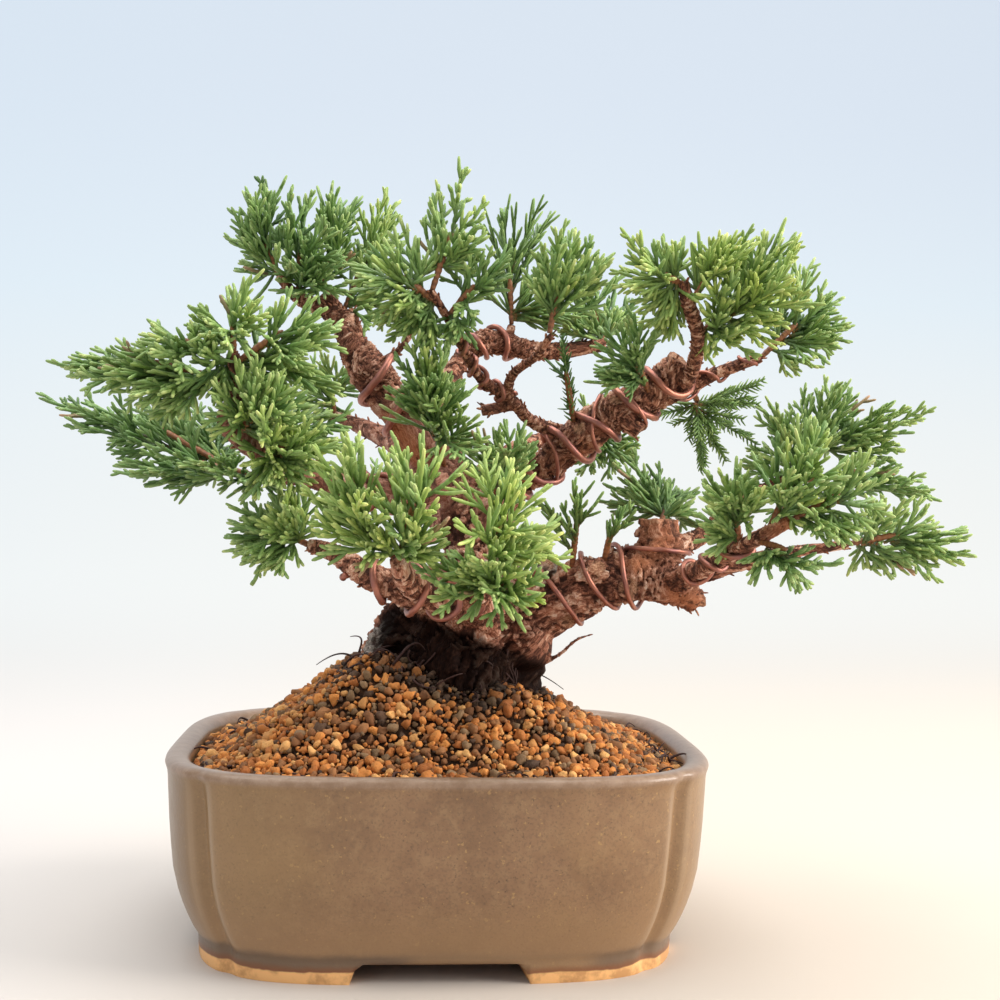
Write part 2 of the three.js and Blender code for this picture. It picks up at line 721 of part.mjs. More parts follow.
function makePot() {
  const rings = POT_PROFILE.map(([inset, z, groove]) => potRing(inset, z, groove * POT.grooveDepth));
  const body = solidFrom(loft(rings));
  const drains = [-1, 1].map((side) => {
    const drain = new THREE.CylinderGeometry(DRAIN.radius, DRAIN.radius, POT.height, DRAIN.sides);
    drain.rotateX(Math.PI / 2);
    drain.translate(side * DRAIN.fromCentre, 0, 0);
    return solidFrom(drain);
  });
  return body.subtract(footGap("y")).subtract(footGap("x")).subtract(Manifold.union(drains));
}

// A square of plastic mesh that keeps the soil from falling through a drain.
function makeScreen(side) {
  const clear = SCREEN.pitch - SCREEN.bar;
  const firstHole = -SCREEN.size / 2 + SCREEN.bar;
  const holes = [];
  for (let x = firstHole; x + clear < SCREEN.size / 2; x += SCREEN.pitch) {
    for (let y = firstHole; y + clear < SCREEN.size / 2; y += SCREEN.pitch) {
      holes.push(block(x, y, -SCREEN.thick, clear, clear, 3 * SCREEN.thick));
    }
  }
  return block(-SCREEN.size / 2, -SCREEN.size / 2, 0, SCREEN.size, SCREEN.size, SCREEN.thick)
    .subtract(Manifold.union(holes))
    .translate([side * DRAIN.fromCentre, 0, POT.floorTop + FIT]);
}

// ---------------------------------------------------------------- wood

function limbCurve(name) {
  const points = LIMBS[name].map(([x, y, z]) => new THREE.Vector3(x, y, z));
  return new THREE.CatmullRomCurve3(points, false, "centripetal");
}

// Radius of a limb at a place u along it, between its listed points.
function limbRadius(name, u) {
  const points = LIMBS[name];
  const place = limbCurve(name).getUtoTmapping(u, null) * (points.length - 1);
  const k = Math.min(Math.floor(place), points.length - 2);
  return points[k][3] + (points[k + 1][3] - points[k][3]) * (place - k);
}

// Flutes and knots of old bark, up to a tenth of the radius.
function barkRelief(u, angle, radius) {
  const flutes = 0.05 * Math.sin(3 * angle + 9 * u);
  const knots = 0.05 * Math.sin(2 * angle - 31 * u) * Math.min(1, radius / 4);
  return 1 + flutes + knots;
}

function limbSolid(name, grow) {
  const curve = limbCurve(name);
  const length = curve.getLength();
  const points = LIMBS[name];
  const mean = points.reduce((sum, p) => sum + p[3], 0) / points.length;
  const sides = Math.min(9, Math.max(4, Math.round(3.2 + mean * 0.5)));
  const steps = Math.max(3, Math.round(length / (mean * 1.3 + 7.8)));
  const grown = grow === 0 ? curve : longerCurve(name, grow);
  return solidFrom(tube(grown, steps, sides, (u, angle) => {
    const radius = limbRadius(name, u);
    return radius * barkRelief(u, angle, radius) + grow;
  }));
}

// The same limb with both ends moved out, for the clearance around its tips.
function longerCurve(name, grow) {
  const points = LIMBS[name].map(([x, y, z]) => new THREE.Vector3(x, y, z));
  const last = points.length - 1;
  points[0].addScaledVector(points[0].clone().sub(points[1]).normalize(), grow);
  points[last].addScaledVector(points[last].clone().sub(points[last - 1]).normalize(), grow);
  return new THREE.CatmullRomCurve3(points, false, "centripetal");
}

function makeWood(grow) {
  return largestPiece(Manifold.union(Object.keys(LIMBS).map((name) => limbSolid(name, grow))));
}

// ---------------------------------------------------------------- soil

// Height of the heap, part of the way to the wall in the direction of an angle.
function soilHeight(reach, angle) {
  const peak = SOIL.peakHeight - SOIL.higherLeft * Math.cos(angle);
  const fall = Math.min(1, Math.max(0, (reach - SOIL.flatTop) / (1 - SOIL.flatTop)));
  return SOIL.edgeHeight + (peak - SOIL.edgeHeight) * (1 - fall) ** SOIL.hollow;
}

// The pot's inner plan without grooves, at evenly spaced angles.
function soilRing(inset, z) {
  return Array.from({ length: SOIL.points }, (_, k) => {
    const p = potPlan((2 * Math.PI * k) / SOIL.points, inset, 0);
    return new THREE.Vector3(p.x, p.y, z);
  });
}

function makeSoil(wood) {
  const draw = seededDraws(SOIL.seed);
  const rings = [];
  const inside = [[14 + FIT, POT.floorTop + 1.5], [7.5 + FIT, 22], [6.1 + FIT, SOIL.edgeHeight]];
  inside.forEach(([inset, z]) => rings.push(soilRing(inset + 0.2, z)));
  const wall = rings[rings.length - 1];
  for (let ring = 1; ring < SOIL.rings; ring++) {
    const reach = 1 - ring / SOIL.rings;
    rings.push(wall.map((p) => {
      const raised = ring === 1 ? draw() * SOIL.reliefAtWall : (draw() - 0.3) * SOIL.relief;
      const height = soilHeight(reach, Math.atan2(p.y, p.x));
      return new THREE.Vector3(p.x * reach, p.y * reach, height + raised);
    }));
  }
  const size = SCREEN.size + 2 * SCREEN_ROOM.beside;
  const screens = [-1, 1].map((side) => {
    const left = side * DRAIN.fromCentre - size / 2;
    return block(left, -size / 2, POT.floorTop, size, size, SCREEN_ROOM.height);
  });
  return largestPiece(solidFrom(loft(rings)).subtract(wood).subtract(Manifold.union(screens)));
}

// ---------------------------------------------------------------- clearance between thin pieces

// Every thin piece is noted as short stretches { node, a, b, radius }, and later pieces keep clear of them.
const placed = [];

function noteStretch(node, a, b, radius) {
  placed.push({ node, a, b, radius });
}

// Shortest distance between two straight stretches.
function stretchDistance(a, b, c, d) {
  const u = b.clone().sub(a);
  const v = d.clone().sub(c);
  const w = a.clone().sub(c);
  const uu = u.dot(u);
  const uv = u.dot(v);
  const vv = v.dot(v);
  const uw = u.dot(w);
  const vw = v.dot(w);
  const spread = uu * vv - uv * uv;
  let s = spread < 1e-9 ? 0 : Math.min(1, Math.max(0, (uv * vw - vv * uw) / spread));
  const t = Math.min(1, Math.max(0, (uv * s + vw) / vv));
  s = Math.min(1, Math.max(0, (uv * t - uw) / uu));
  return a.clone().addScaledVector(u, s).distanceTo(c.clone().addScaledVector(v, t));
}

function isClear(node, a, b, radius, gap = FIT) {
  return placed.every((other) => other.node === node
    || stretchDistance(a, b, other.a, other.b) > radius + other.radius + gap);
}

function noteLimbs() {
  Object.keys(LIMBS).forEach((name) => {
    const curve = limbCurve(name);
    const steps = Math.ceil(curve.getLength() / 4);
    for (let step = 0; step < steps; step++) {
      const u = (step + 0.5) / steps;
      const a = curve.getPointAt(step / steps);
      const b = curve.getPointAt((step + 1) / steps);
      noteStretch(`limb ${name}`, a, b, limbRadius(name, u) * 1.1);
    }
  });
}

// ---------------------------------------------------------------- training wires

function distanceToWood(point) {
  const beside = point.clone().addScalar(0.01);
  return placed.reduce((least, other) => {
    if (!other.node.startsWith("limb ")) {
      return least;
    }
    return Math.min(least, stretchDistance(point, beside, other.a, other.b) - other.radius);
  }, Infinity);
}

// The route of a wire: out from the limb's axis until it is clear of all wood, then smoothed.
function wireRoute(wire) {
  const curve = limbCurve(wire.limb);
  const steps = Math.round(wire.turns * WIRE_STEPS_PER_TURN);
  const frames = curve.computeFrenetFrames(WIRE_FRAMES, false);
  const clearance = wire.radius + WIRE_GAP;
  const spots = [];
  for (let step = 0; step <= steps; step++) {
    const u = wire.from + ((wire.to - wire.from) * step) / steps;
    const angle = wire.start + (2 * Math.PI * wire.turns * step) / steps;
    const frame = Math.round(u * WIRE_FRAMES);
    const out = frames.normals[frame].clone().multiplyScalar(Math.cos(angle))
      .addScaledVector(frames.binormals[frame], Math.sin(angle));
    const centre = curve.getPointAt(u);
    let reach = limbRadius(wire.limb, u);
    const furthest = reach + LOOSEST_TURN;
    while (reach < furthest && distanceToWood(centre.clone().addScaledVector(out, reach)) < clearance) {
      reach += 0.1;
    }
    spots.push({ centre, out, reach });
  }
  for (let pass = 0; pass < WIRE_SMOOTHING; pass++) {
    for (let k = 1; k + 1 < spots.length; k++) {
      spots[k].reach = Math.max(spots[k].reach, (spots[k - 1].reach + spots[k + 1].reach) / 2);
    }
  }
  return spots.map((spot) => spot.centre.clone().addScaledVector(spot.out, spot.reach));
}

function makeWire(name, wire, woodClearance) {
  const route = wireRoute(wire);
  for (let k = 0; k + 1 < route.length; k++) {
    noteStretch(name, route[k], route[k + 1], wire.radius);
  }
  const curve = new THREE.CatmullRomCurve3(route, false, "centripetal");
  const solid = solidFrom(tube(curve, route.length - 1, 4, () => wire.radius));
  return largestPiece(solid.subtract(woodClearance));
}

// ---------------------------------------------------------------- leafy shoots

const GOLDEN_ANGLE = Math.PI * (3 - Math.sqrt(5));

// A direction at an angle to the axis, turned about it.
function sideways(axis, lean, turn) {
  const helper = Math.abs(axis.z) < 0.9 ? new THREE.Vector3(0, 0, 1) : new THREE.Vector3(1, 0, 0);
  const side = new THREE.Vector3().crossVectors(axis, helper).normalize();
  const up = new THREE.Vector3().crossVectors(side, axis);
  return axis.clone().multiplyScalar(Math.cos(lean))
    .addScaledVector(side, Math.sin(lean) * Math.cos(turn))
    .addScaledVector(up, Math.sin(lean) * Math.sin(turn));
}

// The branchlets of a spray, turned evenly about its core.
function sprayBranchlets(length, reach, draw) {
  const count = Math.max(4, Math.round(length / 2.6));
  const firstTurn = draw() * 2 * Math.PI;
  return Array.from({ length: count }, (_, k) => {
    const u = 0.18 + (0.66 * (k + draw() * 0.6)) / count;
    return {
      u,
      lean: 0.6 + draw() * 0.3,
      turn: firstTurn + k * GOLDEN_ANGLE,
      size: reach * (0.75 + 0.35 * draw()) * (1.05 - 0.45 * u),
    };
  });
}

// A three-sided needle: a point on its host's axis, its full width just outside the host,
// and a pointed tip.
function needle(a, b, radius) {
  const axis = b.clone().sub(a).normalize();
  const shoulder = a.clone().lerp(b, NEEDLE.shoulder);
  const ring = [0, 1, 2].map((k) => {
    return shoulder.clone().addScaledVector(sideways(axis, Math.PI / 2, (k * 2 * Math.PI) / 3), radius);
  });
  const geometry = new THREE.BufferGeometry();
  const corners = [a, ...ring, b].flatMap((p) => [p.x, p.y, p.z]);
  geometry.setAttribute("position", new THREE.Float32BufferAttribute(corners, 3));
  geometry.setIndex([0, 1, 2, 0, 2, 3, 0, 3, 1, 4, 2, 1, 4, 3, 2, 4, 1, 3]);
  return solidFrom(geometry);
}

const SHORTER = [1, 0.85, 0.7, 0.55, 0.4];

function stemCurve(shoot) {
  const from = new THREE.Vector3(...shoot.from);
  const to = new THREE.Vector3(...shoot.to);
  const middle = from.clone().lerp(to, 0.5).add(new THREE.Vector3(0, 0, -0.04 * from.distanceTo(to)));
  return new THREE.QuadraticBezierCurve3(from, middle, to);
}

function noteStem(name, shoot) {
  const curve = stemCurve(shoot);
  for (let k = 0; k < 4; k++) {
    noteStretch(name, curve.getPoint(k / 4), curve.getPoint((k + 1) / 4), NEEDLE.stem);
  }
}

// A needle from a place in a direction, shortened until it is clear of every other node, or null.
function fittedNeedle(name, start, direction, length, radius) {
  const ends = SHORTER.map((part) => start.clone().addScaledVector(direction, part * length));
  const tip = ends.find((end) => isClear(name, start.clone().lerp(end, 0.2), end, radius));
  if (!tip) {
    return null;
  }
  noteStretch(name, start, tip, radius);
  return { tip, solid: needle(start, tip, radius) };
}

function makeShoot(name, shoot, seed, clearance) {
  const draw = seededDraws(seed);
  const stem = stemCurve(shoot);
  const parts = [solidFrom(tube(stem, 2, 3, (u) => NEEDLE.stem * (1.2 - 0.3 * u)))];
  shoot.sprays.forEach(([at, x, y, z, reach], spray) => {
    const from = stem.getPoint(at * NEEDLE.lastOnStem);
    const tip = new THREE.Vector3(x, y, z);
    const along = tip.clone().sub(from).normalize();
    const branchlets = sprayBranchlets(from.distanceTo(tip), reach, draw);
    const core = fittedNeedle(name, from, along, from.distanceTo(tip), NEEDLE.core);
    if (!core) {
      return;
    }
    parts.push(core.solid);
    // The solid keeps one branchlet of each spray, the first, second or third.
    const branchlet = branchlets[spray % 3];
    const start = from.clone().lerp(core.tip, branchlet.u);
    const outward = sideways(along, branchlet.lean, branchlet.turn);
    const side = fittedNeedle(name, start, outward, branchlet.size, NEEDLE.radius);
    if (side) {
      parts.push(side.solid);
    }
  });
  return largestPiece(Manifold.union(parts).subtract(clearance));
}

// ---------------------------------------------------------------- the whole part

const group = new THREE.Group();
const wood = makeWood(0);
const woodClearance = makeWood(FIT);

group.add(meshOf("pot", makePot(), COLOURS.pot, 0.35));
group.add(meshOf("drain_screen_left", makeScreen(-1), COLOURS.screen, 0.6));
group.add(meshOf("drain_screen_right", makeScreen(1), COLOURS.screen, 0.6));
group.add(meshOf("soil", makeSoil(woodClearance), COLOURS.soil, 0.95));
group.add(meshOf("wood", wood, COLOURS.wood, 0.9));

noteLimbs();
Object.entries(WIRES).forEach(([name, wire]) => {
  group.add(meshOf(name, makeWire(name, wire, woodClearance), wire.colour, 0.4));
});

Object.entries(SHOOTS).forEach(([name, shoot]) => noteStem(name, shoot));
Object.entries(SHOOTS).forEach(([name, shoot], k) => {
  const solid = makeShoot(name, shoot, FIRST_SHOOT_SEED + SHOOT_SEED_STEP * k, woodClearance);
  group.add(meshOf(`shoot_${name}`, solid, COLOURS.leaf[k % COLOURS.leaf.length], 0.7));
});

export default group;
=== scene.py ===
"""A small juniper bonsai in a glazed pot: bark, soil grains, wires and foliage built around its frame."""

import math

import bmesh
import bpy
import numpy as np
from bpy.props import FloatProperty, FloatVectorProperty, IntProperty, PointerProperty
from bpy.types import Operator, Panel, PropertyGroup
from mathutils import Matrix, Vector, kdtree, noise
from mathutils.bvhtree import BVHTree


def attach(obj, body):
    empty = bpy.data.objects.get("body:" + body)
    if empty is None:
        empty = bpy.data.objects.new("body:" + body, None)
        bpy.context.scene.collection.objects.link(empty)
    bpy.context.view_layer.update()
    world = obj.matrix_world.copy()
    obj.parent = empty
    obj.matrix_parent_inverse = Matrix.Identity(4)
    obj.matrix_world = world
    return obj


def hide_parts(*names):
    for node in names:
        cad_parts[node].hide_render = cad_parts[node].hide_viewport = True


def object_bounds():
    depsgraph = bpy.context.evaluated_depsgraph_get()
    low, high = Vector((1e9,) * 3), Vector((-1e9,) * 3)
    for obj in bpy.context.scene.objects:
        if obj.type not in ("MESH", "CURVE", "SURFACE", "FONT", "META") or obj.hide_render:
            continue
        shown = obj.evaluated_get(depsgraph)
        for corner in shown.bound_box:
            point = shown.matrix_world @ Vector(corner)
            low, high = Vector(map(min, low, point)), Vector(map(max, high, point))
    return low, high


bl_info = {
    "name": "Potted Juniper Bonsai",
    "version": (1, 0, 0),
    "blender": (4, 5, 0),
    "location": "3D View > Sidebar > Bonsai",
    "description": "Builds a wired juniper bonsai in a glazed pot around its packed frame",
    "category": "Add Mesh",
}

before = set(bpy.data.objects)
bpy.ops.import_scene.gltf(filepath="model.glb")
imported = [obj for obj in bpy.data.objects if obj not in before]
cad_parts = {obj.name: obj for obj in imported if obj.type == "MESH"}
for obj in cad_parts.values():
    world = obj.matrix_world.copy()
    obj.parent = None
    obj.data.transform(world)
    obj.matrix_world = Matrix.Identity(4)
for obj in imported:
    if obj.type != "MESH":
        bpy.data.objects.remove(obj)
CAD_BOX = [list(corner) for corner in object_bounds()]

MM = 0.001
BOX_CENTRE = np.array([14.5, -6.0, 0.0])  # the tables below are in the pot's own frame, in millimetres
GOLDEN_ANGLE = math.pi * (3 - math.sqrt(5))

# ---------------------------------------------------------------- sizes shared with the solids

POT_WIDTH = 137.0
POT_DEPTH = 123.0
POT_SQUARENESS = 3.8
CORNER_IN = 9.0
GROOVE_DEPTH = 2.6
GROOVE_HALF_WIDTH = 2.4
ARCH_HALF_TOP = 19.0
ARCH_HALF_BOTTOM = 21.6
ARCH_HEIGHT = 5.5
DRAIN_RADIUS = 7.0
DRAIN_FROM_CENTRE = 28.0
FLOOR_MIDDLE = 8.5
DRILL_LENGTH = 0.03
CORNER_ANGLE = math.atan2(POT_DEPTH / 2 - CORNER_IN, POT_WIDTH / 2 - CORNER_IN)
FOOT_HALF_WIDTH = 52.0
FOOT_HALF_DEPTH = 46.0
RIDGE_FROM_CORNER = 3.6
RIDGE_WIDTH = 1.2

SOIL_EDGE = 46.5
SOIL_PEAK = 69.5
SOIL_HIGHER_LEFT = 3.5
SOIL_FLAT_TOP = 0.33
SOIL_HOLLOW = 1.4
SOIL_WALL_INSET = 6.65

# Limbs of the tree, each a chain of [x, y, z, radius].
LIMBS = {
    "trunk": [[5, -0.5, 52, 19], [4.5, -0.5, 68, 19.5], [6, -0.5, 76, 18.5], [8.5, -0.5, 85.5, 15.5],
        [10.5, 1, 95, 11.5], [9.5, 3, 104, 9], [5, 5.5, 117, 7], [-3.5, 6, 127, 6], [-11, 6.5, 137.5, 5.6],
        [-18, 7, 146.5, 5.6], [-24.5, 9.5, 155.5, 4.8], [-26.5, 12, 164.5, 3]],
    "flank_left": [[-17, -1, 56, 8], [-14, -1, 70.5, 8.5], [-7, -1.5, 81, 8.5], [3, -0.5, 89.5, 8]],
    "flank_right": [[20, -3.5, 56, 8], [19.5, -3.5, 68.5, 9], [21, -5.5, 79, 11], [18.5, -5.5, 86, 11]],
    "flank_front": [[4.5, -12.5, 56, 10], [6.5, -10.5, 72, 11], [9, -9, 84.5, 9]],
    "root_left": [[-10, 0, 62, 7], [-28, -4, 48, 4.5], [-42, -10, 34, 2.8], [-50, -14, 24, 1.6]],
    "root_right": [[18, -2, 60, 7], [34, 2, 46, 4.4], [46, 8, 32, 2.6], [52, 12, 22, 1.6]],
    "root_front": [[6, -12, 60, 7], [2, -28, 44, 4.2], [-4, -38, 30, 2.6], [-8, -43, 22, 1.6]],
    "root_back": [[8, 10, 60, 7], [14, 28, 44, 4.2], [18, 38, 30, 2.6], [20, 43, 22, 1.6]],
    "root_deep": [[4, -1, 56, 9], [0, 2, 40, 6], [-4, 6, 26, 3], [-10, 10, 18, 1.8]],
    "root_twig": [[20, -6, 67, 1.4], [31.5, -10.5, 73.5, 0.9], [36, -11, 77.5, 0.8], [40.5, -11, 79, 0.6]],
    "arm_e": [[13.5, -3, 81.5, 11], [27.5, -8, 87, 9], [39, -11, 92, 7.5], [52, -14, 95, 6.8],
        [60, -16.5, 92, 5], [67, -17, 88, 3.2]],
    "stub_e": [[56, -14, 94, 6], [57, -12.5, 102.5, 6.2], [57, -12.5, 109.5, 5]],
    "arm_b": [[10, 3, 104, 8], [20, 0.5, 118.5, 4.6], [27.5, -2, 123, 4.2], [35.5, -4.5, 130, 5.6],
        [43, -6.5, 135.5, 5], [52, -8, 141.5, 4.8], [59, -10.5, 147, 4.6], [62, -12.5, 151.5, 3.4]],
    "partner_b": [[42, -4, 133.5, 3], [55.5, -4, 140, 2.8], [65.5, -7, 145, 2.3], [73, -9.5, 148.5, 1.8],
        [83.5, -12.5, 152.5, 1.4]],
    "stub_b": [[46, -9.5, 137.5, 3], [52, -11, 132.5, 2.5]],
    "twig_b": [[62.5, -9.5, 143, 2.2], [64.5, -17, 149, 2], [63, -29, 157, 1.9], [60, -32.5, 163, 1.9],
        [58, -34.5, 168.5, 1.6]],
    "arm_c": [[32.5, -5.5, 131.5, 3.2], [23, -7, 135, 2.1], [18.5, -9.5, 139.5, 2], [10, -15, 144.5, 1.8],
        [6, -20.5, 149, 1.6], [2, -26.5, 156, 1.4], [-4.5, -33, 165, 1.3]],
    "stub_c": [[19.5, -9.5, 139, 1.7], [10, -10, 137, 1.5]],
    "twig_c": [[16.5, -10.5, 141.5, 1.5], [17.5, -15.5, 146, 1.3], [22.5, -26, 150, 1.1],
        [25.5, -34, 154.5, 1]],
    "arm_d": [[-3, 10, 127.5, 4.5], [0, 22, 140.5, 3], [6, 31.5, 153.5, 2.9], [12.5, 34, 159.5, 3.8],
        [29.5, 36, 157.5, 2.8], [49, 36.5, 160, 2]],
    "twig_d": [[20, 34.5, 157.5, 1.8], [21, 34.5, 165, 1.2]],
    "twig_trunk": [[-18, 5, 149.5, 2], [-12, 3, 153.5, 1.4], [-6.5, 0.5, 161, 1.2]],
    "top_left": [[-25, 11, 161, 3], [-34, 12.5, 166, 2.4], [-39, 13, 168, 1.9], [-45, 11, 174, 1.3]],
    "top_mid": [[-28, 12, 164, 2.4], [-32.5, 10.5, 169.5, 1.6]],
    "arm_f": [[10, -11, 84.5, 9], [7, -30.5, 89, 7], [0, -46, 91, 5.6], [-10.5, -54.5, 93, 4.6],
        [-18.5, -57, 96, 3.6], [-26.5, -55.5, 101, 2.5], [-32, -53, 102.5, 1.8]],
    "fork_f1": [[6.5, -36.5, 89, 4.5], [8.5, -59, 95.5, 3], [9, -71, 99, 2]],
    "fork_f2": [[-6, -50, 92, 3.6], [-10, -67.5, 96.5, 2.6], [-11.5, -75.5, 100, 1.8]],
    "arm_g": [[1, 4, 119.5, 5], [-9.5, -11.5, 115, 4.2], [-22.5, -24.5, 116, 3.8], [-34.5, -33.5, 120, 3.3],
        [-44, -41, 124, 2.8], [-49.5, -46.5, 128, 2.5], [-52, -48.5, 131.5, 2.4],
        [-49.5, -50.5, 136.5, 2.1], [-50, -52.5, 146.5, 1.6]],
    "fork_g": [[-32, -30, 119.5, 2.6], [-41.5, -15, 118.5, 2], [-51.5, -4.5, 118.5, 1.4]],
    "twig_e": [[60, -16.5, 93, 4], [62.5, -39, 97.5, 2.4], [69, -53.5, 103.5, 2], [78, -64, 110, 1.5]],
    "arm_h": [[58.5, -10.5, 100.5, 4], [70, -3, 105, 2.4], [83, 2, 115, 1.8], [95, 5, 121, 1.3]],
    "arm_i": [[64, -19, 95, 3], [83.5, -24.5, 100.5, 1.8], [103, -27.5, 104, 1.2]],
    "back_right": [[8.5, 7.5, 108, 5], [15, 29, 122.5, 3.6], [28, 46, 130.5, 2.6], [44.5, 57, 137, 1.6]],
    "back_left": [[-2, 10, 122, 5], [-10.5, 34.5, 129, 3.6], [-21.5, 53.5, 135, 2.6],
        [-31, 64.5, 139, 1.5]],
    "back_mid": [[9, 6, 100, 5], [2, 30, 107, 3.4], [-6, 48, 111, 2.4], [-14, 60, 113, 1.5]],
}
# Limbs that are a little thinner here than their solids, as part of the radius.
THINNER = {
    "root_twig": 0.6, "twig_trunk": 0.72, "flank_left": 0.88, "flank_right": 0.9, "arm_f": 0.87,
    "arm_c": 0.82,
}
ROOTS = ("root_left", "root_right", "root_front", "root_back", "root_deep")

# Training wires: [limb, from, to, turns, angle at the start, radius]. That on arm b goes on past its solid.
WIRES = {
    "wire_trunk": ["trunk", 0.7, 0.84, 1.8, 2.6, 1.05],
    "wire_arm_b": ["arm_b", 0.22, 0.96, 5.4, 0.4, 0.9],
    "wire_arm_c": ["arm_c", 0.3, 0.72, 4, 1.2, 0.6],
    "wire_arm_d": ["arm_d", 0.48, 0.7, 2, 0, 0.8],
    "wire_arm_e": ["arm_e", 0.28, 0.74, 3, 2.9, 0.66],
    "wire_arm_f": ["arm_f", 0.4, 0.86, 4, 2, 0.8],
    "wire_arm_g": ["arm_g", 0.2, 0.42, 3, 0.5, 0.8],
    "wire_twig_e": ["twig_e", 0.3, 0.78, 3, 4, 0.6],
}

# Thinner wires in the same pieces: one beside the wire on arm b, one on the twig next to it, one on a stub.
THIN_WIRES = {
    "wire_arm_b": [["arm_b", 0.35, 0.93, -3.2, 2.4, 0.55], ["partner_b", 0.1, 0.96, 4, 1.0, 0.5]],
    "wire_arm_e": [["stub_e", 0.36, 0.5, 1.15, 3.6, 0.6]],
}
WIRE_STEPS_PER_TURN = 30
WIRE_SIDES = 12
FURTHEST_OFF = 3.0  # how far a wire may stand off its limb
OUTWARD_STEP = 0.08
PULLS = 14  # rounds that pull a wire straight over hollows
SMOOTHINGS = 6

